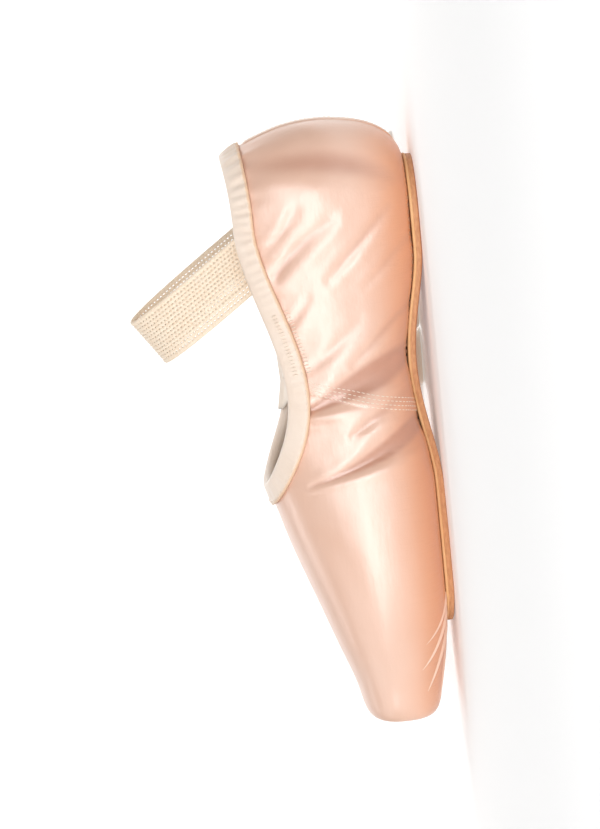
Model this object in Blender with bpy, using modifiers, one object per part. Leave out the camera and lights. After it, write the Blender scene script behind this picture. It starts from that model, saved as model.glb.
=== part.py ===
"""A pointe shoe, empty and unbent, standing on the flat spots of its own leather sole.

The shoe is built the way a maker builds it: a hollow satin upper with a stiff box, lasted inwards
and closed underneath by a narrow leather outsole, an insole, a folded binding over the topline, an
elastic strap over the ankle and two ribbons that lie down on the far side.

Frame: metres, +X to the toe, +Y to the shoe's left, +Z up, the floor at Z = 0. Inside the functions
"along" is the distance from the back of the heel; place() turns it into the frame's X.
"""

import math
from collections import namedtuple

import bmesh
import bpy
import numpy as np
from mathutils import Vector
from mathutils.bvhtree import BVHTree

# Driving sizes of the last
LENGTH = 0.230
BALL_WIDTH = 0.078
WAIST_WIDTH = 0.061
HEEL_WIDTH = 0.058
INSTEP_HEIGHT = 0.066
HEEL_HEIGHT = 0.070
SIDE_HEIGHT = 0.054
VAMP_LENGTH = 0.094
HEEL_CENTRE = 0.034
HEEL_LEAN = 0.010

# The stiff box and the flat platform at its tip
TOE_WIDTH = 0.051
TOE_HEIGHT = 0.032
TOE_LIFT = 0.007
PLATFORM_WIDTH = 0.040
PLATFORM_HEIGHT = 0.023
PLATFORM_ROUNDING = 0.012
TOE_FLAT = 0.30

# The leather outsole
SOLE_BACK = 0.016
SOLE_FRONT = 0.196
SOLE_HEEL_WIDTH = 0.041
SOLE_WAIST_WIDTH = 0.026
SOLE_FORE_WIDTH = 0.045
SOLE_THICKNESS = 0.003
SOLE_EDGE = 0.0008
SOLE_OVERLAP = 0.003
ARCH_RISE = 0.0055

# Walls, layers and clearances
QUARTER_WALL = 0.0016
BOX_WALL = 0.0028
INSOLE_THICKNESS = 0.002
BINDING_THICKNESS = 0.0007
BINDING_DEPTH = 0.0075
GAP = 0.0003
BINDING_GAP = 0.0007
SEAM_WIDTH = 0.0046
SEAM_RAISE = 0.0005
SEAM_TOP_LEVEL = 1.7
PLEAT_WIDTH = 0.0019
PLEAT_RAISE = 0.0008

# Elastic and ribbons
ELASTIC_WIDTH = 0.020
ELASTIC_THICKNESS = 0.0012
ELASTIC_HEIGHT = 0.105
ELASTIC_SEAT = 0.049
ELASTIC_TUCK = 0.017
ELASTIC_LEAN = math.radians(35)
ELASTIC_POWER = 2.4
RIBBON_WIDTH = 0.022
RIBBON_THICKNESS = 0.0005
RIBBON_SEAT = 0.078
RIBBON_SHIFT = 0.024
RIBBON_TUCK = 0.022
RIBBON_LANDING = 0.012
RIBBON_TILT_RADIUS = 0.040
RIBBON_SPACING = 0.009
CROSSING_LIFT = 0.0045
CROSSING_SAG = 0.004

Section = namedtuple("Section", "along width top widest round")
# along: share of the length. width and top: of the named size they follow. widest: where the section
# is widest, as a share of its height. round: exponent of its curve, 2 is an ellipse.
SECTIONS = (
    Section(0.148, 1.000 * HEEL_WIDTH, 1.145 * HEEL_HEIGHT, 0.30, 2.20),
    Section(0.270, 0.985 * HEEL_WIDTH, 1.130 * HEEL_HEIGHT, 0.28, 2.15),
    Section(0.400, 1.000 * WAIST_WIDTH, 1.150 * INSTEP_HEIGHT, 0.26, 2.10),
    Section(0.500, 1.110 * WAIST_WIDTH, 1.100 * INSTEP_HEIGHT, 0.27, 2.15),
    Section(0.590, 0.955 * BALL_WIDTH, 1.005 * INSTEP_HEIGHT, 0.30, 2.20),
    Section(0.690, 1.000 * BALL_WIDTH, 0.905 * INSTEP_HEIGHT, 0.34, 2.25),
    Section(0.800, 0.910 * BALL_WIDTH, 0.775 * INSTEP_HEIGHT, 0.40, 2.30),
    Section(0.885, 1.175 * TOE_WIDTH, TOE_LIFT + 1.170 * TOE_HEIGHT, 0.46, 2.40),
    Section(0.948, 1.000 * TOE_WIDTH, TOE_LIFT + 1.000 * TOE_HEIGHT, 0.50, 2.45),
)

SoleRow = namedtuple("SoleRow", "share width")
# share: of the sole's length from its back. width: of the named width it follows.
SOLE_ROWS = (
    SoleRow(0.11, 1.00 * SOLE_HEEL_WIDTH),
    SoleRow(0.26, 0.86 * SOLE_HEEL_WIDTH),
    SoleRow(0.43, 1.00 * SOLE_WAIST_WIDTH),
    SoleRow(0.57, 1.22 * SOLE_WAIST_WIDTH),
    SoleRow(0.75, 0.97 * SOLE_FORE_WIDTH),
    SoleRow(0.89, 1.00 * SOLE_FORE_WIDTH),
)

# Shares of the length where the shoe leaves and meets the floor
HEEL_FLAT_END = 0.210
FORE_FLAT_START = 0.600
FORE_FLAT_END = 0.775

Pleat = namedtuple("Pleat", "start_side end_side end_along")
# start_side: share of the forefoot sole's half width. end_side: of the toe's half width.
# end_along: share of the length.
PLEATS = (
    Pleat(0.17, 0.24, 0.986),
    Pleat(0.46, 0.60, 0.975),
    Pleat(0.75, 0.90, 0.925),
    Pleat(0.93, 1.02, 0.872),
)

Step = namedtuple("Step", "x y")
# Each ribbon's lie on the floor, chosen by hand: shares of the length, from where the ribbon lands.
RIGHT_LIE = (
    Step(0.000, 0.000), Step(-0.013, -0.087), Step(-0.065, -0.165), Step(-0.152, -0.217),
    Step(-0.213, -0.296), Step(-0.204, -0.391), Step(-0.126, -0.457), Step(-0.022, -0.470),
    Step(0.083, -0.457), Step(0.187, -0.483), Step(0.283, -0.535), Step(0.387, -0.557),
    Step(0.491, -0.530), Step(0.596, -0.504), Step(0.696, -0.517),
)
LEFT_LIE = (
    Step(0.000, 0.000), Step(0.017, -0.087), Step(0.074, -0.165), Step(0.174, -0.204),
    Step(0.283, -0.187), Step(0.387, -0.139), Step(0.496, -0.130), Step(0.574, -0.196),
    Step(0.565, -0.300), Step(0.470, -0.348), Step(0.361, -0.330), Step(0.257, -0.339),
    Step(0.165, -0.378),
)

THROAT = LENGTH - VAMP_LENGTH
TOE_START = LENGTH - PLATFORM_ROUNDING
COLLAR_LOW = 0.43 * LENGTH
SOLE_ANGLE = -math.pi / 2
FAN_POWER = 2.25
CLOSE_POWER = 2.1
OPENING_BACK = SOLE_BACK + SOLE_OVERLAP
OPENING_FRONT = SOLE_FRONT - SOLE_OVERLAP
SOLE_HEEL_CENTRE = SOLE_BACK + SOLE_ROWS[0].share * (SOLE_FRONT - SOLE_BACK)
SOLE_FRONT_CENTRE = SOLE_BACK + SOLE_ROWS[-1].share * (SOLE_FRONT - SOLE_BACK)


def spline(places, values):
    """A natural cubic spline through a few rows, so that the surface has no kink at a row."""
    places = np.array(places)
    values = np.array(values)
    step = np.diff(places)
    count = len(places)
    system = np.eye(count)
    right = np.zeros(count)
    for i in range(1, count - 1):
        system[i, i - 1 : i + 2] = step[i - 1], 2 * (step[i - 1] + step[i]), step[i]
        slopes = np.diff(values[i - 1 : i + 2]) / step[i - 1 : i + 1]
        right[i] = 6 * (slopes[1] - slopes[0])
    bend = np.linalg.solve(system, right)

    def at(place):
        i = int(np.clip(np.searchsorted(places, place) - 1, 0, count - 2))
        h = step[i]
        a = (places[i + 1] - place) / h
        b = (place - places[i]) / h
        cubic = ((a**3 - a) * bend[i] + (b**3 - b) * bend[i + 1]) * h * h / 6
        return float(a * values[i] + b * values[i + 1] + cubic)

    return at


def column(rows, name, places):
    return spline(places, [getattr(row, name) for row in rows])


SECTION_PLACES = [row.along * LENGTH for row in SECTIONS]
last_width = column(SECTIONS, "width", SECTION_PLACES)
last_top = column(SECTIONS, "top", SECTION_PLACES)
last_widest = column(SECTIONS, "widest", SECTION_PLACES)
last_round = column(SECTIONS, "round", SECTION_PLACES)
SOLE_PLACES = [SOLE_BACK + row.share * (SOLE_FRONT - SOLE_BACK) for row in SOLE_ROWS]
sole_width = column(SOLE_ROWS, "width", SOLE_PLACES)


def smooth(value):
    """0 below 0, 1 above 1, and an even S between."""
    value = min(max(value, 0.0), 1.0)
    return value * value * (3 - 2 * value)


def place(along, side, height):
    """From the distance along the shoe to the frame, whose origin is under the shoe's middle."""
    return Vector((along - (LENGTH - SEAM_RAISE) / 2, side, height))


def arc(value, power):
    """A sine or cosine made fuller: power 2 leaves it, more squares it."""
    return math.copysign(abs(value) ** (2 / power), value)


def floor_line(along):
    """How far the sole's underside stands off the floor: flat, arch, flat, then the toe's spring."""
    heel_end = HEEL_FLAT_END * LENGTH
    fore_start = FORE_FLAT_START * LENGTH
    fore_end = FORE_FLAT_END * LENGTH
    if heel_end < along < fore_start:
        share = (along - heel_end) / (fore_start - heel_end)
        return ARCH_RISE * (4 * share * (1 - share)) ** 2
    if along > fore_end:
        spring = TOE_LIFT - SOLE_THICKNESS - GAP
        return spring * ((along - fore_end) / (TOE_START - fore_end)) ** 1.6
    return 0.0


def opening_half(along):
    """Half width of the opening that the outsole closes, round at its front."""
    full = 0.5 * sole_width(min(along, SOLE_FRONT_CENTRE)) - SOLE_OVERLAP
    if along <= SOLE_FRONT_CENTRE:
        return full
    if along >= OPENING_FRONT:
        return 0.0
    share = (along - SOLE_FRONT_CENTRE) / (OPENING_FRONT - SOLE_FRONT_CENTRE)
    return full * (1 - share**FAN_POWER) ** (1 / FAN_POWER)


def flat_half(along):
    """Half width of the flat underside, which narrows evenly from the sole's front to the platform."""
    full = 0.5 * sole_width(min(along, SOLE_FRONT_CENTRE)) - SOLE_OVERLAP
    share = smooth((along - SOLE_FRONT_CENTRE) / (TOE_START - SOLE_FRONT_CENTRE))
    return full * (1 - (1 - TOE_FLAT) * share)


def wall(along):
    """The wall's thickness: cloth in the quarters, pasted layers in the box."""
    box = smooth((along - 0.60 * LENGTH) / (0.18 * LENGTH))
    return QUARTER_WALL + (BOX_WALL - QUARTER_WALL) * box


def collar_angle(along):
    """Where on its section the topline lies, from 0 at the widest point to a right angle on top."""
    if along >= THROAT:
        return math.pi / 2
    share = smooth((COLLAR_LOW - along) / (COLLAR_LOW - HEEL_CENTRE))
    height = SIDE_HEIGHT + (0.965 * HEEL_HEIGHT - SIDE_HEIGHT) * share
    bottom = floor_line(along) + SOLE_THICKNESS + GAP
    top = last_top(along)
    middle = bottom + last_widest(along) * (top - bottom)
    rise = min(max((height - middle) / (top - middle), 0.05), 0.98)
    angle = math.asin(rise ** (last_round(along) / 2))
    if along <= COLLAR_LOW:
        return angle
    share = (along - COLLAR_LOW) / (THROAT - COLLAR_LOW)
    closing = 1 - (1 - share**CLOSE_POWER) ** (1 / CLOSE_POWER)
    return angle + (math.pi / 2 - angle) * closing


def section_point(along, angle):
    """Side and height of the last's outer surface, from -90 degrees at the sole to 90 on top."""
    bottom = floor_line(along) + SOLE_THICKNESS + GAP
    top = last_top(along)
    half = 0.5 * last_width(along)
    middle = bottom + last_widest(along) * (top - bottom)
    power = last_round(along)
    if angle < 0:
        flat = flat_half(along)
        side = flat + (half - flat) * arc(math.cos(angle), power)
        if angle <= SOLE_ANGLE:
            side = opening_half(along)
        return side, middle + (middle - bottom) * arc(math.sin(angle), power)
    return half * arc(math.cos(angle), power), middle + (top - middle) * arc(math.sin(angle), power)


def level_angle(along, level):
    """Level 0 is the sole's edge, 1 the widest line and 2 the topline or the ridge."""
    if level < 1:
        return (1 - level) * SOLE_ANGLE
    return (level - 1) * collar_angle(along)


def body_section(along, levels):
    return [(along, *section_point(along, level_angle(along, level))) for level in levels]


def back_profile(level):
    """The heel's back on the centre line: it rounds under to the sole and leans in to the topline."""
    middle = 0.52 * HEEL_HEIGHT
    bottom = floor_line(OPENING_BACK) + SOLE_THICKNESS + GAP
    if level < 1:
        angle = (level - 1) * math.pi / 2
        along = OPENING_BACK * (1 - arc(math.cos(angle), 2.3))
        return along, middle + (middle - bottom) * arc(math.sin(angle), 2.3)
    angle = level_angle(HEEL_CENTRE, level)
    share = arc(math.sin(angle), 2.2) / arc(math.sin(level_angle(HEEL_CENTRE, 2)), 2.2)
    return HEEL_LEAN * share**1.9, middle + (HEEL_HEIGHT - middle) * share


def heel_section(turn, side, raised, levels):
    """A section of the heel, turned about its centre, or at a fixed side distance by the back seam."""
    points = []
    for level in levels:
        half, height = section_point(HEEL_CENTRE, level_angle(HEEL_CENTRE, level))
        back, back_height = back_profile(level)
        angle = turn
        if side is not None:
            angle = math.acos((side / half) ** (FAN_POWER / 2))
        along = HEEL_CENTRE - (HEEL_CENTRE - back) * arc(math.sin(angle), FAN_POWER)
        height += (back_height - height) * math.sin(angle) ** 2
        if raised and 0.3 < level < SEAM_TOP_LEVEL:
            along -= SEAM_RAISE
        points.append((along, half * arc(math.cos(angle), FAN_POWER), height))
    return points


def toe_section(share, levels):
    """Ahead of the box the section shrinks about its middle, round to the flat platform."""
    angle = share * math.pi / 2
    base = body_section(TOE_START, levels)
    lift = floor_line(TOE_START) + SOLE_THICKNESS + GAP
    middle = lift + 0.5 * (last_top(TOE_START) - lift)
    wide = PLATFORM_WIDTH / TOE_WIDTH + (1 - PLATFORM_WIDTH / TOE_WIDTH) * math.cos(angle)
    high = PLATFORM_HEIGHT / TOE_HEIGHT + (1 - PLATFORM_HEIGHT / TOE_HEIGHT) * math.cos(angle)
    along = TOE_START + PLATFORM_ROUNDING * math.sin(angle)
    return [(along, side * wide, middle + (height - middle) * high) for _, side, height in base]


def platform_ring(scale, levels):
    edge = toe_section(1.0, levels)
    middle = 0.5 * (edge[0][2] + edge[-1][2])
    return [(LENGTH, side * scale, middle + (height - middle) * scale) for _, side, height in edge]


def upper_sections(levels, fine=1):
    """All the sections of the left half, from the back seam to the middle of the platform."""
    half_seam = SEAM_WIDTH / 2
    sections = [
        heel_section(math.pi / 2, None, True, levels),
        heel_section(None, half_seam, True, levels),
        heel_section(None, half_seam + 0.0004, False, levels),
    ]
    for turn in np.radians(np.linspace(74, 0, 6 * fine + 1)[:-1]):
        sections.append(heel_section(float(turn), None, False, levels))
    quarter = np.linspace(HEEL_CENTRE, COLLAR_LOW, 6 * fine + 1)
    closing = COLLAR_LOW + (THROAT - COLLAR_LOW) * np.sin(np.linspace(0, math.pi / 2, 7 * fine + 1)[1:])
    vamp = np.linspace(THROAT, SOLE_FRONT_CENTRE, 5 * fine + 1)[1:]
    round_front = (OPENING_FRONT - SOLE_FRONT_CENTRE) * np.sin(np.linspace(0, math.pi / 2, 4 * fine + 1)[1:])
    box = np.linspace(OPENING_FRONT, TOE_START, 3 * fine + 1)[1:]
    for along in (*quarter, *closing, *vamp, *(SOLE_FRONT_CENTRE + round_front), *box):
        sections.append(body_section(float(along), levels))
    for share in np.linspace(0, 1, 4 * fine + 1)[1:]:
        sections.append(toe_section(float(share), levels))
    sections.append(platform_ring(0.5, levels))
    return sections


def join_ends(mesh, distance):
    """Merge the points that a closed section has twice, and drop the faces that this empties."""
    bmesh.ops.remove_doubles(mesh, verts=mesh.verts, dist=distance)
    bmesh.ops.dissolve_degenerate(mesh, edges=mesh.edges, dist=distance)


def sheet_mesh(name, rows):
    """An open sheet over rows of points, with its faces on the side that (row, column) turns to."""
    mesh = bmesh.new()
    grid = [[mesh.verts.new(point) for point in row] for row in rows]
    for low, high in zip(grid, grid[1:]):
        for i in range(len(low) - 1):
            mesh.faces.new((low[i], high[i], high[i + 1], low[i + 1]))
    data = bpy.data.meshes.new(name)
    mesh.to_mesh(data)
    mesh.free()
    return data


def tube_mesh(name, rings, closed):
    """A closed body over rings of points: capped at both ends, or joined into a loop."""
    mesh = bmesh.new()
    grid = [[mesh.verts.new(point) for point in ring] for ring in rings]
    pairs = list(zip(grid, grid[1:]))
    if closed:
        pairs.append((grid[-1], grid[0]))
    for first, second in pairs:
        for i, corner in enumerate(first):
            j = (i + 1) % len(first)
            mesh.faces.new((corner, first[j], second[j], second[i]))
    if not closed:
        mesh.faces.new(grid[0])
        mesh.faces.new(grid[-1])
    bmesh.ops.recalc_face_normals(mesh, faces=mesh.faces)
    data = bpy.data.meshes.new(name)
    mesh.to_mesh(data)
    mesh.free()
    return data


def material(name, colour, roughness):
    made = bpy.data.materials.new(name)
    made.use_nodes = True
    shader = made.node_tree.nodes["Principled BSDF"]
    shader.inputs["Base Color"].default_value = (*colour, 1.0)
    shader.inputs["Roughness"].default_value = roughness
    shader.inputs["Metallic"].default_value = 0.0
    return made


def add_part(data, collection, finish):
    data.shade_smooth()
    data.set_sharp_from_angle(angle=math.radians(40))
    part = bpy.data.objects.new(data.name, data)
    collection.objects.link(part)
    if finish is not None:
        data.materials.append(finish)
    return part


def boolean(part, cutter, operation):
    modifier = part.modifiers.new(operation.lower(), "BOOLEAN")
    modifier.operation = operation
    modifier.object = cutter
    cutter.hide_render = True
    cutter.display_type = "WIRE"


def outer_form(levels, fine=1):
    """The outer surface of both halves, as one open mesh."""
    half = upper_sections(levels, fine)
    rows = [[place(*point) for point in section] for section in half]
    mesh = bmesh.new()
    for mirrored in (False, True):
        grid = []
        for row in rows:
            points = [Vector((p.x, -p.y, p.z)) if mirrored else p for p in row]
            grid.append([mesh.verts.new(p) for p in points])
        tip = mesh.verts.new(0.5 * (rows[-1][0] + rows[-1][-1]))
        for low, high in zip(grid, grid[1:]):
            for i in range(len(low) - 1):
                corners = (low[i], high[i], high[i + 1], low[i + 1])
                mesh.faces.new(corners[::-1] if mirrored else corners)
        for i in range(len(levels) - 1):
            corners = (grid[-1][i], tip, grid[-1][i + 1])
            mesh.faces.new(corners[::-1] if mirrored else corners)
    join_ends(mesh, 0.00002)
    bmesh.ops.recalc_face_normals(mesh, faces=mesh.faces)
    return mesh


def pleat_rings(surface, pleat, mirrored):
    """One folded ridge of satin, from the sole's front edge out to the rim of the platform."""
    start_side = pleat.start_side * 0.5 * SOLE_FORE_WIDTH
    end_side = pleat.end_side * 0.5 * TOE_WIDTH
    reach = (1 - (2 * start_side / SOLE_FORE_WIDTH) ** FAN_POWER) ** (1 / FAN_POWER)
    start_along = SOLE_FRONT_CENTRE + (SOLE_FRONT - SOLE_FRONT_CENTRE) * reach + 0.0012
    end_along = pleat.end_along * LENGTH
    rings = []
    count = 7
    for i in range(count):
        share = i / (count - 1)
        side = start_side + (end_side - start_side) * share**0.9
        along = start_along + (end_along - start_along) * share
        if mirrored:
            side = -side
        hit, normal, _, _ = surface.ray_cast(place(along, side, -0.02), Vector((0, 0, 1)))
        if hit is None:
            break
        if normal.z > 0:
            normal = -normal
        heading = Vector((end_along - start_along, (1 - 2 * mirrored) * (end_side - start_side), 0))
        across = normal.cross(heading).normalized()
        thin = 0.45 + 0.55 * math.sin(math.pi * (0.12 + 0.76 * share))
        profile = ((-0.5, -0.6), (-0.32, 0.55), (0.0, 1.0), (0.32, 0.55), (0.5, -0.6))
        ring = []
        for wide, high in profile:
            ring.append(hit + across * (wide * PLEAT_WIDTH * thin) + normal * (high * PLEAT_RAISE * thin))
        rings.append(ring)
    return rings


def make_upper(collection, cutters, surface, levels):
    """The hollow upper: the outer form thickened inwards, with the pleats fused on."""
    mesh = outer_form(levels)
    data = bpy.data.meshes.new("upper")
    mesh.to_mesh(data)
    mesh.free()
    part = add_part(data, collection, material("peach_satin", (0.87, 0.62, 0.48), 0.38))
    group = part.vertex_groups.new(name="wall")
    for vertex in data.vertices:
        share = wall(vertex.co.x - place(0, 0, 0).x) / BOX_WALL
        group.add([vertex.index], share, "REPLACE")
    shell = part.modifiers.new("wall", "SOLIDIFY")
    shell.thickness = BOX_WALL
    shell.offset = -1.0
    shell.vertex_group = group.name
    shell.use_rim = True
    pleats = bmesh.new()
    for pleat in PLEATS:
        for mirrored in (False, True):
            ridge = tube_mesh("ridge", pleat_rings(surface, pleat, mirrored), False)
            pleats.from_mesh(ridge)
            bpy.data.meshes.remove(ridge)
    ridges = bpy.data.meshes.new("pleats")
    pleats.to_mesh(ridges)
    pleats.free()
    boolean(part, add_part(ridges, cutters, None), "UNION")
    return part


def sole_stations(inset, count):
    """Places along the sole, close together where its ends are round."""
    back = SOLE_BACK + inset
    front = SOLE_FRONT - inset
    turns = np.radians(np.linspace(4, 90, 7))
    heel = SOLE_HEEL_CENTRE - (SOLE_HEEL_CENTRE - back) * np.cos(turns)
    toe = SOLE_FRONT_CENTRE + (front - SOLE_FRONT_CENTRE) * np.cos(turns[::-1])
    middle = np.linspace(SOLE_HEEL_CENTRE, SOLE_FRONT_CENTRE, count)[1:-1]
    return [float(x) for x in (*heel, *middle, *toe)]


def plate_half(along, inset):
    """Half width of a plate whose edge lies inside the outsole's, everywhere by the same inset."""
    back = SOLE_BACK + inset
    front = SOLE_FRONT - inset
    full = 0.5 * sole_width(min(max(along, SOLE_HEEL_CENTRE), SOLE_FRONT_CENTRE)) - inset
    if along < SOLE_HEEL_CENTRE:
        share = min((SOLE_HEEL_CENTRE - along) / (SOLE_HEEL_CENTRE - back), 1.0)
        return full * (1 - share**FAN_POWER) ** (1 / FAN_POWER)
    if along > SOLE_FRONT_CENTRE:
        share = min((along - SOLE_FRONT_CENTRE) / (front - SOLE_FRONT_CENTRE), 1.0)
        return full * (1 - share**FAN_POWER) ** (1 / FAN_POWER)
    return full


def plate(name, collection, finish, inset, lift, thickness, edge, count):
    """A thin bottom layer that follows the floor line, with a rounded lower edge."""
    rings = []
    for along in sole_stations(inset, count):
        low = floor_line(along) + lift(along)
        half = plate_half(along, inset)
        bevel = min(edge, 0.4 * half)
        profile = (
            (half - bevel, low),
            (half, low + bevel),
            (half, low + thickness),
            (-half, low + thickness),
            (-half, low + bevel),
            (bevel - half, low),
        )
        rings.append([place(along, side, height) for side, height in profile])
    return add_part(tube_mesh(name, rings, False), collection, finish)


def make_outsole(collection):
    finish = material("sole_leather", (0.55, 0.30, 0.19), 0.55)
    return plate("outsole", collection, finish, 0.0, lambda along: 0.0, SOLE_THICKNESS, SOLE_EDGE, 20)


def insole_lift(along):
    """The insole rests on the edge of the upper that is turned in over the outsole."""
    return SOLE_THICKNESS + GAP + wall(along) + 3 * GAP


def make_insole(collection):
    finish = material("insole_cloth", (0.80, 0.72, 0.60), 0.85)
    inset = SOLE_OVERLAP / 2
    return plate("insole", collection, finish, inset, insole_lift, INSOLE_THICKNESS, 0.0005, 16)


def collar_line():
    """The topline's points over both halves, as one loop from the back seam round by the throat."""
    levels = (0.0, 1.0, 2.0)
    half = [section[-1] for section in upper_sections(levels)]
    left = [point for point in half if point[0] < THROAT - 1e-6]
    throat = body_section(THROAT, levels)[-1]
    right = [(along, -side, height) for along, side, height in reversed(left[1:])]
    return [place(*point) for point in (*left, throat, *right)]


def make_binding(collection, surface):
    """A satin tape folded over the topline: a channel with one leg outside and one inside."""
    points = collar_line()
    outer = BINDING_GAP + BINDING_THICKNESS
    rings = []
    for i, point in enumerate(points):
        heading = (points[(i + 1) % len(points)] - points[i - 1]).normalized()
        _, normal, _, _ = surface.find_nearest(point)
        down = normal.cross(heading).normalized()
        middle = surface.find_nearest(point + down * 0.5 * BINDING_DEPTH)[:2]
        foot = surface.find_nearest(point + down * BINDING_DEPTH)[:2]
        rings.append(channel_profile(point, normal, down, middle, foot, outer))
    finish = material("binding_satin", (0.93, 0.82, 0.70), 0.40)
    return add_part(tube_mesh("collar_binding", rings, True), collection, finish)


def channel_profile(point, normal, down, middle, foot, outer):
    """The channel's cross-section, round the edge of the wall with an even gap."""
    inner = QUARTER_WALL + BINDING_GAP
    far = QUARTER_WALL + outer
    foot, foot_normal = foot
    middle, middle_normal = middle
    return [
        foot + foot_normal * outer,
        middle + middle_normal * outer,
        point + normal * outer,
        point - down * outer - normal * 0.2 * QUARTER_WALL,
        point - down * outer - normal * 0.8 * QUARTER_WALL,
        point - normal * far,
        foot - foot_normal * far,
        foot - foot_normal * inner,
        point - normal * inner,
        point - down * BINDING_GAP - normal * QUARTER_WALL,
        point - down * BINDING_GAP,
        point + normal * BINDING_GAP,
        middle + middle_normal * BINDING_GAP,
        foot + foot_normal * BINDING_GAP,
    ]


def quarter_frame(along, height):
    """Side of the quarter's outer surface at a height, and its outward normal, up to the topline."""
    along = max(along, HEEL_CENTRE)
    angles = np.linspace(0, collar_angle(along), 25)
    points = np.array([section_point(along, angle) for angle in angles])
    height = min(max(height, points[0][1]), points[-1][1])
    i = min(int(np.searchsorted(points[:, 1], height, side="right")), len(points) - 1) - 1
    share = (height - points[i][1]) / (points[i + 1][1] - points[i][1])
    side = points[i][0] + share * (points[i + 1][0] - points[i][0])
    rise = points[i + 1] - points[i]
    rise /= np.hypot(*rise)
    return side, (float(rise[1]), float(-rise[0]))


def topline_height(along):
    along = max(along, HEEL_CENTRE)
    return section_point(along, collar_angle(along))[1]


def inside_depth(thickness):
    """From the quarter's outer surface to the middle of a tape that lies inside the binding."""
    return QUARTER_WALL + BINDING_GAP + BINDING_THICKNESS + 3 * GAP + thickness / 2


def inside_side(along, height, thickness):
    side, normal = quarter_frame(along, height)
    return side - inside_depth(thickness) / normal[0]


def elastic_point(travel, across, top):
    """The strap leans forward as it rises, follows the wall inside and closes over the ankle."""
    lift = topline_height(ELASTIC_SEAT) - ELASTIC_TUCK * math.cos(ELASTIC_LEAN)
    along = ELASTIC_SEAT + (travel - ELASTIC_TUCK) * math.sin(ELASTIC_LEAN)
    along += across * math.cos(ELASTIC_LEAN)
    height = lift + travel * math.cos(ELASTIC_LEAN) - across * math.sin(ELASTIC_LEAN)
    share = min(max((travel - ELASTIC_TUCK) / (top - ELASTIC_TUCK), 0.0), 1.0)
    closing = (1 - share**ELASTIC_POWER) ** (1 / ELASTIC_POWER)
    return along, inside_side(along, height, ELASTIC_THICKNESS) * closing, height


def make_elastic(collection):
    """The woven elastic over the ankle, its ends sewn inside the collar."""
    rise = ELASTIC_HEIGHT - topline_height(ELASTIC_SEAT)
    top = ELASTIC_TUCK + rise / math.cos(ELASTIC_LEAN)
    travels = list(np.linspace(0, ELASTIC_TUCK, 4)[:-1])
    for turn in np.linspace(0, math.pi / 2, 11):
        travels.append(ELASTIC_TUCK + (top - ELASTIC_TUCK) * arc(math.sin(turn), ELASTIC_POWER))
    widths = np.linspace(-0.5, 0.5, 4) * ELASTIC_WIDTH
    left = [[elastic_point(travel, across, top) for across in widths] for travel in travels]
    right = [[(x, -y, z) for x, y, z in row] for row in reversed(left[:-1])]
    rows = [[place(*point) for point in row] for row in left + right]
    finish = material("woven_elastic", (0.93, 0.84, 0.72), 0.75)
    return tape("elastic_strap", rows, ELASTIC_THICKNESS, collection, finish)


def tape(name, rows, thickness, collection, finish):
    """A flat tape: an open strip with its thickness added evenly to both sides."""
    part = add_part(sheet_mesh(name, rows), collection, finish)
    shell = part.modifiers.new("thickness", "SOLIDIFY")
    shell.thickness = thickness
    shell.offset = 0.0
    return part


def wall_run(along, side):
    """A ribbon's inner run, from its sewn end up to the topline, on one side of the shoe."""
    top = topline_height(along)
    heights = top - RIBBON_TUCK * np.array((1.0, 0.66, 0.33, 0.1))
    return [(along, side * inside_side(along, h, RIBBON_THICKNESS), h) for h in heights]


def fold_over(along, side, start, count):
    """The ribbon's fold over the bound edge, from an angle round it to the outside."""
    top = topline_height(along)
    edge, normal = quarter_frame(along, top)
    reach = QUARTER_WALL / 2 + BINDING_GAP + BINDING_THICKNESS + 2 * GAP + RIBBON_THICKNESS / 2
    middle = (edge - normal[0] * QUARTER_WALL / 2, top - normal[1] * QUARTER_WALL / 2)
    points = []
    for angle in np.linspace(start, 0, count):
        out, up = reach * math.cos(angle), reach * math.sin(angle)
        y = middle[0] + out * normal[0] - up * normal[1]
        z = middle[1] + out * normal[1] + up * normal[0]
        points.append((along, side * y, z))
    return points


def hang_side(seat):
    """How far out the ribbon hangs: just clear of the quarter's widest line at each of its edges."""
    widest = max(last_width(along) for along in ribbon_columns(seat))
    return 0.5 * widest + RIBBON_THICKNESS / 2 + 3 * GAP


def drop(along, side, hang):
    """Down the outside of the quarter, then round on to the floor."""
    top = topline_height(along)
    clear = BINDING_GAP + BINDING_THICKNESS + 2 * GAP + RIBBON_THICKNESS / 2
    points = []
    for share in (0.12, 0.28, 0.45, 0.62):
        height = top * (1 - share)
        outer, normal = quarter_frame(along, height)
        y = outer + clear / normal[0]
        blend = smooth((share - 0.12) / 0.5)
        points.append((along, side * (y + (hang - y) * blend), height))
    floor = RIBBON_THICKNESS / 2 + GAP
    for turn in np.radians((0, 30, 60, 90)):
        y = hang + RIBBON_LANDING * (1 - math.cos(turn))
        points.append((along, side * y, floor + RIBBON_LANDING * (1 - math.sin(turn))))
    return points


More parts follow.
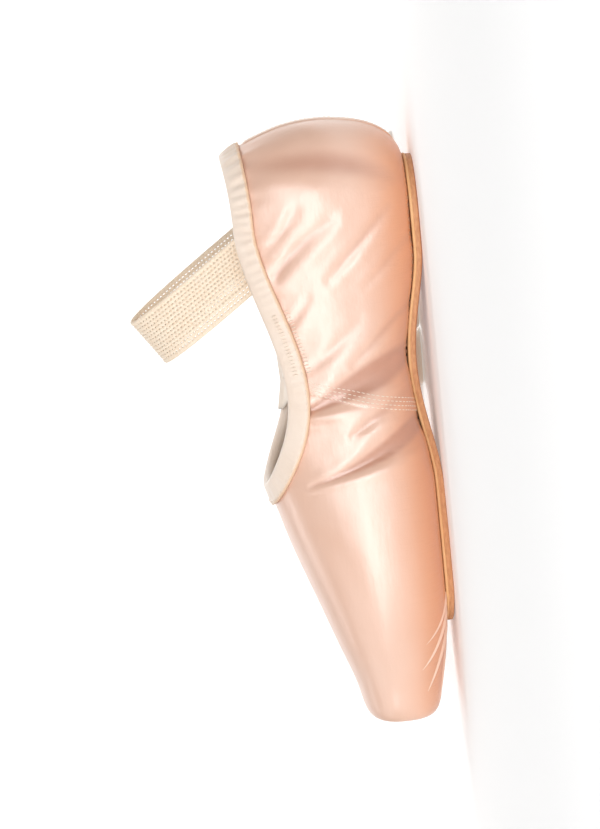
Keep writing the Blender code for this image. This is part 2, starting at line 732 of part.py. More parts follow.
def lie(start, steps, spacing):
    """The ribbon's free run on the floor: at each turn it tips up on the side that it bends to."""
    knots = [0.0]
    for a, b in zip(steps, steps[1:]):
        knots.append(knots[-1] + LENGTH * math.hypot(b.x - a.x, b.y - a.y))
    run_x = spline(knots, [LENGTH * step.x for step in steps])
    run_y = spline(knots, [LENGTH * step.y for step in steps])
    count = round(knots[-1] / spacing)
    path = np.array([(run_x(knots[-1] * i / count), run_y(knots[-1] * i / count)) for i in range(count + 2)])
    headings = path[1:] - path[:-1]
    headings /= np.hypot(headings[:, 0], headings[:, 1])[:, None]
    turns = np.cross(headings[:-1], headings[1:]) / spacing
    even = np.convolve(np.pad(turns, 3, "edge"), np.array((1, 2, 3, 4, 3, 2, 1)) / 16, "valid")
    rows = []
    for i in range(1, count + 1):
        here, heading = path[i], headings[i]
        tilt = math.atan(even[i - 1] * RIBBON_TILT_RADIUS) * smooth(4 * i / count)
        across = (-heading[1] * math.cos(tilt), heading[0] * math.cos(tilt), math.sin(tilt))
        lift = RIBBON_THICKNESS / 2 + GAP + 0.5 * RIBBON_WIDTH * abs(math.sin(tilt))
        middle = Vector((start.x + here[0], start.y + here[1], lift))
        rows.append([middle + Vector(across) * (share * RIBBON_WIDTH) for share in (-0.5, 0.0, 0.5)])
    return rows


def ribbon_columns(seat):
    return [seat + share * RIBBON_WIDTH for share in (-0.5, 0.0, 0.5)]


def rows_of(columns):
    """Turn one list of points for each column of the ribbon into rows across it."""
    return [[place(*point) for point in row] for row in zip(*columns)]


def make_ribbon(name, collection, finish, columns, steps):
    rows = rows_of(columns)
    rows += lie(rows[-1][1], steps, RIBBON_SPACING)
    return tape(name, rows, RIBBON_THICKNESS, collection, finish)


def make_ribbons(collection):
    """Both ribbons lie down on the far side; the left one crosses over the opening to it."""
    finish = material("ribbon_satin", (0.92, 0.83, 0.72), 0.42)
    hang = hang_side(RIBBON_SEAT)
    right = []
    for along in ribbon_columns(RIBBON_SEAT):
        inside = wall_run(along, -1)
        right.append(inside + fold_over(along, -1, math.pi, 7) + drop(along, -1, hang))
    make_ribbon("ribbon_right", collection, finish, right, RIGHT_LIE)
    far_seat = RIBBON_SEAT + RIBBON_SHIFT
    hang = hang_side(far_seat)
    left = []
    for near, far in zip(ribbon_columns(RIBBON_SEAT), ribbon_columns(far_seat)):
        inside = wall_run(near, 1)
        fold = fold_over(far, -1, 0.62 * math.pi, 5)
        left.append(inside + crossing(inside[-1], fold[0]) + fold + drop(far, -1, hang))
    make_ribbon("ribbon_left", collection, finish, left, LEFT_LIE)


def crossing(start, end):
    """From the near topline over the opening to the far one, with a little slack."""
    points = []
    for share in (0.06, 0.16, 0.30, 0.45, 0.60, 0.75, 0.90):
        along, side, height = (a + (b - a) * share for a, b in zip(start, end))
        lift = CROSSING_LIFT * math.sin(math.pi * min(share / 0.32, 1.0))
        sag = CROSSING_SAG * math.sin(math.pi * share)
        points.append((along, side, height + lift - sag))
    return points


def main():
    for old in list(bpy.data.objects):
        bpy.data.objects.remove(old)
    scene = bpy.context.scene
    shoe = bpy.data.collections.new("pointe_shoe")
    cutters = bpy.data.collections.new("cutters")
    scene.collection.children.link(shoe)
    scene.collection.children.link(cutters)
    levels = (0.0, 0.2, 0.4, 0.6, 0.8, 1.0, 1.16, 1.32, 1.48, 1.64, 1.8, 1.9, 2.0)
    guide = outer_form(tuple(np.linspace(0, 2, 61)), 5)
    surface = BVHTree.FromBMesh(guide)
    guide.free()
    make_upper(shoe, cutters, surface, levels)
    make_outsole(shoe)
    make_insole(shoe)
    make_binding(shoe, surface)
    make_elastic(shoe)
    make_ribbons(shoe)


main()
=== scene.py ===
import math
from collections import namedtuple

import bmesh
import bpy
import numpy as np
from mathutils import Matrix, Vector, noise
from mathutils.bvhtree import BVHTree


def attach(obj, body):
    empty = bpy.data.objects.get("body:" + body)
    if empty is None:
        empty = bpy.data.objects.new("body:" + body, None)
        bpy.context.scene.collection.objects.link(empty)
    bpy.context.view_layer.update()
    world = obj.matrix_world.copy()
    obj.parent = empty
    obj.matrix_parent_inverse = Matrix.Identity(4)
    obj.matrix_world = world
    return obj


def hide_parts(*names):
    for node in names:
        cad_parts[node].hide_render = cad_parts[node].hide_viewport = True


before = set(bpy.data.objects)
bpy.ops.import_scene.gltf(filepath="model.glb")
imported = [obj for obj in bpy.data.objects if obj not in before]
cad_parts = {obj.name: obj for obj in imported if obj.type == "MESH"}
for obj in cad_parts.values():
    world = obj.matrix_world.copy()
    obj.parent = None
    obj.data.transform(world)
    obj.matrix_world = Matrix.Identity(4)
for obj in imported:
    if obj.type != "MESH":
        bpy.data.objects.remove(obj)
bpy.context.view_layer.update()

# Camera. The photo looks at the shoe's left side from below its heel, with the toe pointing down the
# picture. The shoe stands on its sole here, so the camera keeps that side and turn and stops at the floor.
CAMERA_AZIMUTH = math.radians(192)
CAMERA_ELEVATION = math.radians(0.6)
CAMERA_ROLL = math.radians(96)
CAMERA_DISTANCE = 1.12
CAMERA_LENS = 128
CAMERA_TARGET = Vector((-0.004, 0.0, 0.051))

turned = Matrix.Rotation(CAMERA_AZIMUTH, 4, "Z") @ Matrix.Rotation(math.pi / 2 - CAMERA_ELEVATION, 4, "X")
turned = turned @ Matrix.Rotation(-CAMERA_ROLL, 4, "Z")
camera = bpy.data.objects.new("camera", bpy.data.cameras.new("camera"))
camera.data.lens = CAMERA_LENS
camera.data.clip_start = 0.05
camera.matrix_world = Matrix.Translation(CAMERA_TARGET) @ turned @ Matrix.Translation((0, 0, CAMERA_DISTANCE))
bpy.context.scene.collection.objects.link(camera)
bpy.context.scene.camera = camera

# Ribbons. Two 22 mm satin ribbons are sewn inside the collar, one at each side, and lie down uncoiled on
# the far side. Their route hangs on the last's own form, so the sizes and sections of the last, the same
# as in the CAD source, stand here.
LENGTH = 0.230
BALL_WIDTH = 0.078
WAIST_WIDTH = 0.061
HEEL_WIDTH = 0.058
INSTEP_HEIGHT = 0.066
HEEL_HEIGHT = 0.070
SIDE_HEIGHT = 0.054
THROAT = LENGTH - 0.094
COLLAR_LOW = 0.43 * LENGTH
HEEL_CENTRE = 0.034
HEEL_LEAN = 0.010
TOE_WIDTH = 0.051
TOE_HEIGHT = 0.032
TOE_LIFT = 0.007
PLATFORM_WIDTH = 0.040
PLATFORM_HEIGHT = 0.023
PLATFORM_ROUNDING = 0.012
TOE_FLAT = 0.30
TOE_START = LENGTH - PLATFORM_ROUNDING
SOLE_BACK = 0.016
SOLE_FRONT = 0.196
SOLE_HEEL_WIDTH = 0.041
SOLE_WAIST_WIDTH = 0.026
SOLE_FORE_WIDTH = 0.045
SOLE_THICKNESS = 0.003
SOLE_OVERLAP = 0.003
ARCH_RISE = 0.0055
QUARTER_WALL = 0.0016
BOX_WALL = 0.0028
GAP = 0.0003
BINDING_THICKNESS = 0.0007
BINDING_GAP = 0.0007
SEAM_RAISE = 0.0005
HEEL_FLAT_END = 0.210 * LENGTH
FORE_FLAT_START = 0.600 * LENGTH
FORE_FLAT_END = 0.775 * LENGTH
SOLE_ANGLE = -math.pi / 2
FAN_POWER = 2.25
CLOSE_POWER = 2.1
OPENING_BACK = SOLE_BACK + SOLE_OVERLAP
OPENING_FRONT = SOLE_FRONT - SOLE_OVERLAP

Section = namedtuple("Section", "along width top widest round")
SECTIONS = (
    Section(0.148, 1.000 * HEEL_WIDTH, 1.145 * HEEL_HEIGHT, 0.30, 2.20),
    Section(0.270, 0.985 * HEEL_WIDTH, 1.130 * HEEL_HEIGHT, 0.28, 2.15),
    Section(0.400, 1.000 * WAIST_WIDTH, 1.150 * INSTEP_HEIGHT, 0.26, 2.10),
    Section(0.500, 1.110 * WAIST_WIDTH, 1.100 * INSTEP_HEIGHT, 0.27, 2.15),
    Section(0.590, 0.955 * BALL_WIDTH, 1.005 * INSTEP_HEIGHT, 0.30, 2.20),
    Section(0.690, 1.000 * BALL_WIDTH, 0.905 * INSTEP_HEIGHT, 0.34, 2.25),
    Section(0.800, 0.910 * BALL_WIDTH, 0.775 * INSTEP_HEIGHT, 0.40, 2.30),
    Section(0.885, 1.175 * TOE_WIDTH, TOE_LIFT + 1.170 * TOE_HEIGHT, 0.46, 2.40),
    Section(0.948, 1.000 * TOE_WIDTH, TOE_LIFT + 1.000 * TOE_HEIGHT, 0.50, 2.45),
)
SoleRow = namedtuple("SoleRow", "share width")
SOLE_ROWS = (
    SoleRow(0.11, 1.00 * SOLE_HEEL_WIDTH),
    SoleRow(0.26, 0.86 * SOLE_HEEL_WIDTH),
    SoleRow(0.43, 1.00 * SOLE_WAIST_WIDTH),
    SoleRow(0.57, 1.22 * SOLE_WAIST_WIDTH),
    SoleRow(0.75, 0.97 * SOLE_FORE_WIDTH),
    SoleRow(0.89, 1.00 * SOLE_FORE_WIDTH),
)
SOLE_HEEL_CENTRE = SOLE_BACK + SOLE_ROWS[0].share * (SOLE_FRONT - SOLE_BACK)
SOLE_FRONT_CENTRE = SOLE_BACK + SOLE_ROWS[-1].share * (SOLE_FRONT - SOLE_BACK)


def spline(places, values):
    """A natural cubic spline through a few rows, so that the surface has no kink at a row."""
    places = np.array(places)
    values = np.array(values)
    step = np.diff(places)
    count = len(places)
    system = np.eye(count)
    right_side = np.zeros(count)
    for i in range(1, count - 1):
        system[i, i - 1 : i + 2] = step[i - 1], 2 * (step[i - 1] + step[i]), step[i]
        slopes = np.diff(values[i - 1 : i + 2]) / step[i - 1 : i + 1]
        right_side[i] = 6 * (slopes[1] - slopes[0])
    bend = np.linalg.solve(system, right_side)

    def at(place):
        i = int(np.clip(np.searchsorted(places, place) - 1, 0, count - 2))
        h = step[i]
        a = (places[i + 1] - place) / h
        b = (place - places[i]) / h
        cubic = ((a**3 - a) * bend[i] + (b**3 - b) * bend[i + 1]) * h * h / 6
        return float(a * values[i] + b * values[i + 1] + cubic)

    return at


def through(knots, rows, places):
    """Points at the places, on smooth curves through the rows."""
    curves = [spline(knots, column) for column in np.transpose(rows)]
    return np.array([[curve(at) for curve in curves] for at in places])


def travel_along(points, axis=0):
    """How far each point lies along its row."""
    steps = np.linalg.norm(np.diff(points, axis=axis), axis=-1)
    start = np.zeros_like(np.take(steps, [0], axis=axis))
    return np.cumsum(np.concatenate((start, steps), axis=axis), axis=axis)


def grid_normals(grid):
    normals = np.cross(np.gradient(grid, axis=0), np.gradient(grid, axis=1))
    return normals / np.maximum(np.linalg.norm(normals, axis=2), 1e-12)[:, :, None]


SECTION_PLACES = [row.along * LENGTH for row in SECTIONS]
last_width, last_top, last_widest, last_round = (
    spline(SECTION_PLACES, [row[k] for row in SECTIONS]) for k in range(1, 5)
)
SOLE_PLACES = [SOLE_BACK + row.share * (SOLE_FRONT - SOLE_BACK) for row in SOLE_ROWS]
sole_width = spline(SOLE_PLACES, [row.width for row in SOLE_ROWS])


def smooth(value):
    """0 below 0, 1 above 1, and an even S between."""
    value = np.clip(value, 0.0, 1.0)
    return value * value * (3 - 2 * value)


def place(along, side, height):
    """From the distance along the shoe to the frame, whose origin is under the shoe's middle."""
    return Vector((along - (LENGTH - SEAM_RAISE) / 2, side, height))


def arc(value, power):
    """A sine or cosine made fuller: power 2 leaves it, more squares it."""
    return math.copysign(abs(value) ** (2 / power), value)


def rounding(share, power):
    """How full a rounded end still is at a share of its length: 1 at its start, 0 at its tip."""
    return (1 - share**power) ** (1 / power)


def sole_half(along, inset):
    """Half width of the sole, less an inset, up to where its front rounds off."""
    return 0.5 * sole_width(min(along, SOLE_FRONT_CENTRE)) - inset


def floor_line(along):
    """How far the sole's underside stands off the floor: flat, arch, flat, then the toe's spring."""
    if HEEL_FLAT_END < along < FORE_FLAT_START:
        share = (along - HEEL_FLAT_END) / (FORE_FLAT_START - HEEL_FLAT_END)
        return ARCH_RISE * (4 * share * (1 - share)) ** 2
    if along > FORE_FLAT_END:
        spring = TOE_LIFT - SOLE_THICKNESS - GAP
        return spring * ((along - FORE_FLAT_END) / (TOE_START - FORE_FLAT_END)) ** 1.6
    return 0.0


def upper_bottom(along):
    return floor_line(along) + SOLE_THICKNESS + GAP


def opening_half(along):
    """Half width of the opening that the outsole closes, round at its front."""
    full = sole_half(along, SOLE_OVERLAP)
    if along <= SOLE_FRONT_CENTRE:
        return full
    if along >= OPENING_FRONT:
        return 0.0
    return full * rounding((along - SOLE_FRONT_CENTRE) / (OPENING_FRONT - SOLE_FRONT_CENTRE), FAN_POWER)


def flat_half(along):
    """Half width of the flat underside, which narrows evenly from the sole's front to the platform."""
    full = sole_half(along, SOLE_OVERLAP)
    share = smooth((along - SOLE_FRONT_CENTRE) / (TOE_START - SOLE_FRONT_CENTRE))
    return full * (1 - (1 - TOE_FLAT) * share)


def wall(along):
    """The wall's thickness: cloth in the quarters, pasted layers in the box."""
    return QUARTER_WALL + (BOX_WALL - QUARTER_WALL) * smooth((along - 0.60 * LENGTH) / (0.18 * LENGTH))


def collar_angle(along):
    """Where on its section the topline lies, from 0 at the widest point to a right angle on top."""
    if along >= THROAT:
        return math.pi / 2
    share = smooth((COLLAR_LOW - along) / (COLLAR_LOW - HEEL_CENTRE))
    height = SIDE_HEIGHT + (0.965 * HEEL_HEIGHT - SIDE_HEIGHT) * share
    top = last_top(along)
    middle = upper_bottom(along) + last_widest(along) * (top - upper_bottom(along))
    rise = min(max((height - middle) / (top - middle), 0.05), 0.98)
    angle = math.asin(rise ** (last_round(along) / 2))
    if along <= COLLAR_LOW:
        return angle
    closing = 1 - rounding((along - COLLAR_LOW) / (THROAT - COLLAR_LOW), CLOSE_POWER)
    return angle + (math.pi / 2 - angle) * closing


def section_point(along, angle):
    """Side and height of the last's outer surface, from -90 degrees at the sole to 90 on top."""
    bottom = upper_bottom(along)
    top = last_top(along)
    half = 0.5 * last_width(along)
    middle = bottom + last_widest(along) * (top - bottom)
    power = last_round(along)
    if angle < 0:
        flat = flat_half(along)
        side = flat + (half - flat) * arc(math.cos(angle), power)
        if angle <= SOLE_ANGLE:
            side = opening_half(along)
        return side, middle + (middle - bottom) * arc(math.sin(angle), power)
    return half * arc(math.cos(angle), power), middle + (top - middle) * arc(math.sin(angle), power)


def quarter_frame(along, height):
    """Side of the quarter's outer surface at a height, and its outward normal, up to the topline."""
    along = max(along, HEEL_CENTRE)
    angles = np.linspace(0, collar_angle(along), 25)
    points = np.array([section_point(along, angle) for angle in angles])
    height = min(max(height, points[0][1]), points[-1][1])
    i = min(int(np.searchsorted(points[:, 1], height, side="right")), len(points) - 1) - 1
    share = (height - points[i][1]) / (points[i + 1][1] - points[i][1])
    side = points[i][0] + share * (points[i + 1][0] - points[i][0])
    rise = points[i + 1] - points[i]
    rise /= np.hypot(*rise)
    return side, (float(rise[1]), float(-rise[0]))


def topline_height(along):
    along = max(along, HEEL_CENTRE)
    return section_point(along, collar_angle(along))[1]


def inside_side(along, height, thickness):
    """The middle of a tape that lies inside the binding, against the quarter's inner face."""
    side, normal = quarter_frame(along, height)
    depth = QUARTER_WALL + BINDING_GAP + BINDING_THICKNESS + 3 * GAP + thickness / 2
    return side - depth / normal[0]


RIBBON_WIDTH = 0.022
RIBBON_THICKNESS = 0.0005
RIBBON_SEAT = 0.078
RIBBON_SHIFT = 0.024
RIBBON_TUCK = 0.022
RIBBON_LANDING = 0.012
RIBBON_TILT_RADIUS = 0.040
RIBBON_SPACING = 0.009
CROSSING_LIFT = 0.0045
CROSSING_SAG = 0.004
RIBBON_COLUMNS = np.linspace(-0.5, 0.5, 9)
RIBBON_FINE_STEP = 0.003
RIBBON_RIPPLE = 0.0004
RIBBON_CLEAR = 0.0001
RIPPLE_SHORT = 0.0071
RIPPLE_LONG = 0.0113
RIBBON_HELD = 0.075

Step = namedtuple("Step", "x y")
RIGHT_LIE = (
    Step(0.000, 0.000), Step(-0.013, -0.087), Step(-0.065, -0.165), Step(-0.152, -0.217),
    Step(-0.213, -0.296), Step(-0.204, -0.391), Step(-0.126, -0.457), Step(-0.022, -0.470),
    Step(0.083, -0.457), Step(0.187, -0.483), Step(0.283, -0.535), Step(0.387, -0.557),
    Step(0.491, -0.530), Step(0.596, -0.504), Step(0.696, -0.517),
)
LEFT_LIE = (
    Step(0.000, 0.000), Step(0.017, -0.087), Step(0.074, -0.165), Step(0.174, -0.204),
    Step(0.283, -0.187), Step(0.387, -0.139), Step(0.496, -0.130), Step(0.574, -0.196),
    Step(0.565, -0.300), Step(0.470, -0.348), Step(0.361, -0.330), Step(0.257, -0.339),
    Step(0.165, -0.378),
)


def wall_run(along, side):
    """A ribbon's inner run, from its sewn end up to the topline, on one side of the shoe."""
    top = topline_height(along)
    heights = top - RIBBON_TUCK * np.array((1.0, 0.66, 0.33, 0.1))
    return [(along, side * inside_side(along, h, RIBBON_THICKNESS), h) for h in heights]


def fold_over(along, side, start, count):
    """The ribbon's fold over the bound edge, from an angle round it to the outside."""
    top = topline_height(along)
    edge, normal = quarter_frame(along, top)
    reach = QUARTER_WALL / 2 + BINDING_GAP + BINDING_THICKNESS + 2 * GAP + RIBBON_THICKNESS / 2
    middle = (edge - normal[0] * QUARTER_WALL / 2, top - normal[1] * QUARTER_WALL / 2)
    points = []
    for angle in np.linspace(start, 0, count):
        out, rise = reach * math.cos(angle), reach * math.sin(angle)
        y = middle[0] + out * normal[0] - rise * normal[1]
        z = middle[1] + out * normal[1] + rise * normal[0]
        points.append((along, side * y, z))
    return points


def ribbon_edges(seat):
    return [seat + share * RIBBON_WIDTH for share in (-0.5, 0.0, 0.5)]


def hang_side(seat):
    """How far out the ribbon hangs: just clear of the quarter's widest line at each of its edges."""
    return 0.5 * max(last_width(along) for along in ribbon_edges(seat)) + RIBBON_THICKNESS / 2 + 3 * GAP


def drop(along, side, hang):
    """Down the outside of the quarter, then round on to the floor."""
    top = topline_height(along)
    clear = BINDING_GAP + BINDING_THICKNESS + 2 * GAP + RIBBON_THICKNESS / 2
    points = []
    for share in (0.12, 0.28, 0.45, 0.62):
        height = top * (1 - share)
        outer, normal = quarter_frame(along, height)
        y = outer + clear / normal[0]
        blend = smooth((share - 0.12) / 0.5)
        points.append((along, side * (y + (hang - y) * blend), height))
    floor = RIBBON_THICKNESS / 2 + GAP
    for turn in np.radians((0, 30, 60, 90)):
        y = hang + RIBBON_LANDING * (1 - math.cos(turn))
        points.append((along, side * y, floor + RIBBON_LANDING * (1 - math.sin(turn))))
    return points


def crossing(start, end):
    """From the near topline over the opening to the far one, with a little slack."""
    points = []
    for share in (0.06, 0.16, 0.30, 0.45, 0.60, 0.75, 0.90):
        along, side, height = (a + (b - a) * share for a, b in zip(start, end))
        lift = CROSSING_LIFT * math.sin(math.pi * min(share / 0.32, 1.0))
        sag = CROSSING_SAG * math.sin(math.pi * share)
        points.append((along, side, height + lift - sag))
    return points


def lie(start, steps, spacing):
    """The ribbon's free run on the floor: at each turn it tips up on the side that it bends to."""
    knots = [0.0]
    for a, b in zip(steps, steps[1:]):
        knots.append(knots[-1] + LENGTH * math.hypot(b.x - a.x, b.y - a.y))
    count = round(knots[-1] / spacing)
    path = through(knots, np.array(steps) * LENGTH, [knots[-1] * i / count for i in range(count + 2)])
    headings = path[1:] - path[:-1]
    headings /= np.hypot(headings[:, 0], headings[:, 1])[:, None]
    turns = np.cross(headings[:-1], headings[1:]) / spacing
    even = np.convolve(np.pad(turns, 3, "edge"), np.array((1, 2, 3, 4, 3, 2, 1)) / 16, "valid")
    rows = []
    for i in range(1, count + 1):
        here, heading = path[i], headings[i]
        tilt = math.atan(even[i - 1] * RIBBON_TILT_RADIUS) * smooth(4 * i / count)
        across = (-heading[1] * math.cos(tilt), heading[0] * math.cos(tilt), math.sin(tilt))
        lift = RIBBON_THICKNESS / 2 + GAP + 0.5 * RIBBON_WIDTH * abs(math.sin(tilt))
        middle = Vector((start.x + here[0], start.y + here[1], lift))
        rows.append([middle + Vector(across) * (share * RIBBON_WIDTH) for share in (-0.5, 0.0, 0.5)])
    return rows


def ribbon_rows(columns, steps):
    """Rows of three points across the ribbon, from its sewn end to its free end."""
    rows = [[place(*point) for point in row] for row in zip(*columns)]
    return np.array(rows + lie(rows[-1][1], steps, RIBBON_SPACING))


def refine(rows, spacing):
    """The same ribbon in closer rows, on smooth curves through the coarse ones, and more columns."""
    travel = travel_along(rows[:, 1])
    places = np.linspace(0, travel[-1], round(travel[-1] / spacing) + 1)
    low, mid, high = (through(travel, rows[:, column], places) for column in range(3))
    shares = RIBBON_COLUMNS[None, :, None]
    before = mid[:, None] + (low - mid)[:, None] * (-2 * shares)
    after = mid[:, None] + (high - mid)[:, None] * (2 * shares)
    return places, np.where(shares < 0, before, after)


def sheet_object(name, points, faces, finish):
    """A mesh object with its place in its mesh, smooth, with one finish."""
    data = bpy.data.meshes.new(name)
    data.from_pydata([tuple(p) for p in points], [], faces)
    data.shade_smooth()
    piece = bpy.data.objects.new(name, data)
    bpy.context.scene.collection.objects.link(piece)
    data.materials.append(finish)
    return piece


def mark(data, name, values):
    """A value at each of the mesh's points, for its finish to read."""
    data.attributes.new(name, "FLOAT", "POINT").data.foreach_set("value", values)


def grid_faces(rows, columns, closed_rows=False, closed_columns=False):
    faces = []
    for i in range(rows - (0 if closed_rows else 1)):
        for j in range(columns - (0 if closed_columns else 1)):
            a, b = i * columns + j, ((i + 1) % rows) * columns + j
            c, d = ((i + 1) % rows) * columns + (j + 1) % columns, i * columns + (j + 1) % columns
            faces.append((a, b, c, d))
    return faces


def made_plain(piece):
    """The piece with its modifiers worked into its mesh."""
    depsgraph = bpy.context.evaluated_depsgraph_get()
    data = bpy.data.meshes.new_from_object(piece.evaluated_get(depsgraph), depsgraph=depsgraph)
    data.name = piece.name
    old = piece.data
    piece.modifiers.clear()
    piece.data = data
    bpy.data.meshes.remove(old)


def thickened(piece, thickness):
    """The sheet with its thickness added evenly to both sides."""
    shell = piece.modifiers.new("thickness", "SOLIDIFY")
    shell.thickness = thickness
    shell.offset = 0.0
    made_plain(piece)


class Number:
    """A shader value: sums and products written on it in Python add Math nodes."""

    def __init__(self, finish, socket):
        self.finish = finish
        self.socket = socket

    def math(self, operation, *values):
        return self.finish.node("ShaderNodeMath", {"operation": operation}, dict(enumerate(values)))

    def __add__(self, other):
        return self.math("ADD", self, other)

    def __sub__(self, other):
        return self.math("SUBTRACT", self, other)

    def __rsub__(self, other):
        return self.math("SUBTRACT", other, self)

    def __mul__(self, other):
        return self.math("MULTIPLY", self, other)

    __radd__, __rmul__ = __add__, __mul__

    def between(self, low, high):
        """0 at low and 1 at high, held outside them, with an even S between."""
        settings = {"interpolation_type": "SMOOTHSTEP"}
        return self.finish.node("ShaderNodeMapRange", settings, {"Value": self, 1: low, 2: high})


def feed(tree, socket, value):
    """Links a socket to another one, or gives it a plain value."""
    value = getattr(value, "socket", value)
    if isinstance(value, bpy.types.NodeSocket):
        tree.links.new(value, socket)
    elif isinstance(value, tuple) and socket.type == "RGBA":
        socket.default_value = (*value, 1.0)
    else:
        socket.default_value = value


def wire(tree, kind, settings, inputs):
    """A node of a tree, with its settings first and its sockets next. Gives back its outputs."""
    made = tree.nodes.new(kind)
    for key, value in settings.items():
        setattr(made, key, value)
    for key, value in inputs.items():
        feed(tree, made.inputs[key], value)
    return made.outputs


class Finish:
    """A material's nodes, any of which node() makes."""

    def __init__(self, name):
        self.material = bpy.data.materials.new(name)
        self.material.use_nodes = True
        self.tree = self.material.node_tree
        self.shader = self.tree.nodes["Principled BSDF"]

    def node(self, kind, settings, inputs, output=0):
        return Number(self, wire(self.tree, kind, settings, inputs)[output])

    def coordinates(self):
        return self.node("ShaderNodeTexCoord", {}, {}, "Object")

    def noise(self, scale, detail=2.0, roughness=0.5, turn=(0.0, 0.0, 0.0)):
        """Noise of one scale, or stretched by a scale for each axis and turned."""
        where = self.coordinates()
        if isinstance(scale, tuple):
            where = self.node("ShaderNodeMapping", {}, {"Vector": where, "Scale": scale, "Rotation": turn})
            scale = 1.0
        inputs = {"Vector": where, "Scale": scale, "Detail": detail, "Roughness": roughness}
        return self.node("ShaderNodeTexNoise", {}, inputs)

    def attribute(self, name):
        return self.node("ShaderNodeAttribute", {"attribute_name": name}, {}, "Fac")

    def axis(self, name):
        return self.node("ShaderNodeSeparateXYZ", {}, {0: self.coordinates()}, name)

    def mix(self, share, first, second):
        return self.node("ShaderNodeMix", {"data_type": "RGBA"}, {0: share, 6: first, 7: second}, 2)

    def clouded(self, scale, detail, first, second):
        """A slow noise, and the colour that it mixes from two."""
        cloud = self.noise(scale, detail)
        return cloud, self.mix(cloud, first, second)

    def bump(self, height, distance, strength=1.0, under=None):
        inputs = {"Height": height, "Distance": distance, "Strength": strength}
        if under is not None:
            inputs["Normal"] = under
        return self.node("ShaderNodeBump", {}, inputs)

    def surface(self, **sockets):
        for key, value in sockets.items():
            feed(self.tree, self.shader.inputs[key.replace("_", " ")], value)
        return self.material


def ribbon_satin():
    """Cream satin ribbon: fine lengthwise threads, a firmer woven edge and a soft gloss."""
    finish = Finish("ribbon_satin")
    edge = finish.attribute("edge")
    cloud, base = finish.clouded(60.0, 3.0, (0.86, 0.70, 0.56), (0.92, 0.79, 0.66))
    base = finish.mix(edge.between(0.86, 0.97) * 0.55, base, (0.95, 0.86, 0.76))
    thread = finish.noise(2600.0, 2.0)
    rib = edge.between(0.80, 0.92) - edge.between(0.95, 1.0)
    normal = finish.bump(rib, 0.0002, 0.6, finish.bump(thread, 0.00006, 0.5))
    return finish.surface(
        Base_Color=base, Roughness=0.34 + 0.12 * cloud, Normal=normal,
        Sheen_Weight=0.25, Sheen_Roughness=0.35, Specular_IOR_Level=0.55,
    )


RIBBON_FINISH = ribbon_satin()


def make_ribbon(name, columns, steps):
    """The dressed ribbon, a little rippled where it lies free, with its path told to the frame."""
    travel, rows = refine(ribbon_rows(columns, steps), RIBBON_FINE_STEP)
    rng = np.random.default_rng(len(rows))
    phase = rng.uniform(0, 2 * math.pi, 3)
    by_edge = np.abs(RIBBON_COLUMNS * 2)
    free = smooth((travel - RIBBON_HELD) / 0.04)[:, None] * (0.4 + 0.6 * by_edge[None, :])
    wave = np.sin(travel[:, None] / RIPPLE_SHORT + phase[0] + 2 * RIBBON_COLUMNS[None, :])
    wave = wave + 0.7 * np.sin(travel[:, None] / RIPPLE_LONG + phase[1] - 3 * RIBBON_COLUMNS[None, :])
    rows = rows + grid_normals(rows) * (RIBBON_RIPPLE * free * wave)[:, :, None]
    rows[:, :, 2] = np.maximum(rows[:, :, 2], RIBBON_THICKNESS / 2 + RIBBON_CLEAR)
    count = len(RIBBON_COLUMNS)
    piece = sheet_object(name, rows.reshape(-1, 3), grid_faces(len(rows), count), RIBBON_FINISH)
    mark(piece.data, "edge", np.tile(by_edge, len(rows)))
    thickened(piece, RIBBON_THICKNESS)
    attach(piece, "root")
    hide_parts(name.replace("_satin", ""))


hang = hang_side(RIBBON_SEAT)
right_columns = []
for along in ribbon_edges(RIBBON_SEAT):
    right_columns.append(wall_run(along, -1) + fold_over(along, -1, math.pi, 7) + drop(along, -1, hang))
make_ribbon("ribbon_right_satin", right_columns, RIGHT_LIE)
hang = hang_side(RIBBON_SEAT + RIBBON_SHIFT)
left_columns = []
for near, far in zip(ribbon_edges(RIBBON_SEAT), ribbon_edges(RIBBON_SEAT + RIBBON_SHIFT)):
    inside = wall_run(near, 1)
    fold = fold_over(far, -1, 0.62 * math.pi, 5)
    left_columns.append(inside + crossing(inside[-1], fold[0]) + fold + drop(far, -1, hang))
make_ribbon("ribbon_left_satin", left_columns, LEFT_LIE)

# Upper. Peach satin over cotton, lasted tight over a pasted box: one hollow wall, smooth and hard at
# the toe, soft and creased in the quarters where the shoe bends, with a taped back seam.
SEAM_HALF = 0.0023
SEAM_EDGE = 0.0027
SEAM_TOP_LEVEL = 1.7
SEAM_FOOT_LEVEL = 0.26
SECTION_LEVELS = np.linspace(0, 2, 101)
SECTION_POINTS = 86
TOE_BLEND = 0.011
TOE_PASSES = 24
TOE_ROWS = 16
RIDGE_BLEND = 0.012
FULL_FOLD = 0.0015
CREASE_STEPS = 22
PUCKER_DEPTH = 0.00018
PUCKER_STEP = 0.00085
PUCKER_SWAY = 0.0061
PUCKER_REACH = 0.012
HELD_AT_SOLE = 0.70
HELD_AT_SEAM = 0.45
SIDE_SEAM_TOP = 0.0945
SIDE_SEAM_FOOT = 0.1115
SEAM_BAND = 0.0052
SEAM_LAP = 0.0003
CLOTH_WAVE = 0.00045
WAVES_PER_METRE = 52
SOFT_UP_TO = 0.118
SOFT_FADE = 0.045
RISE_LIMIT = 0.0002

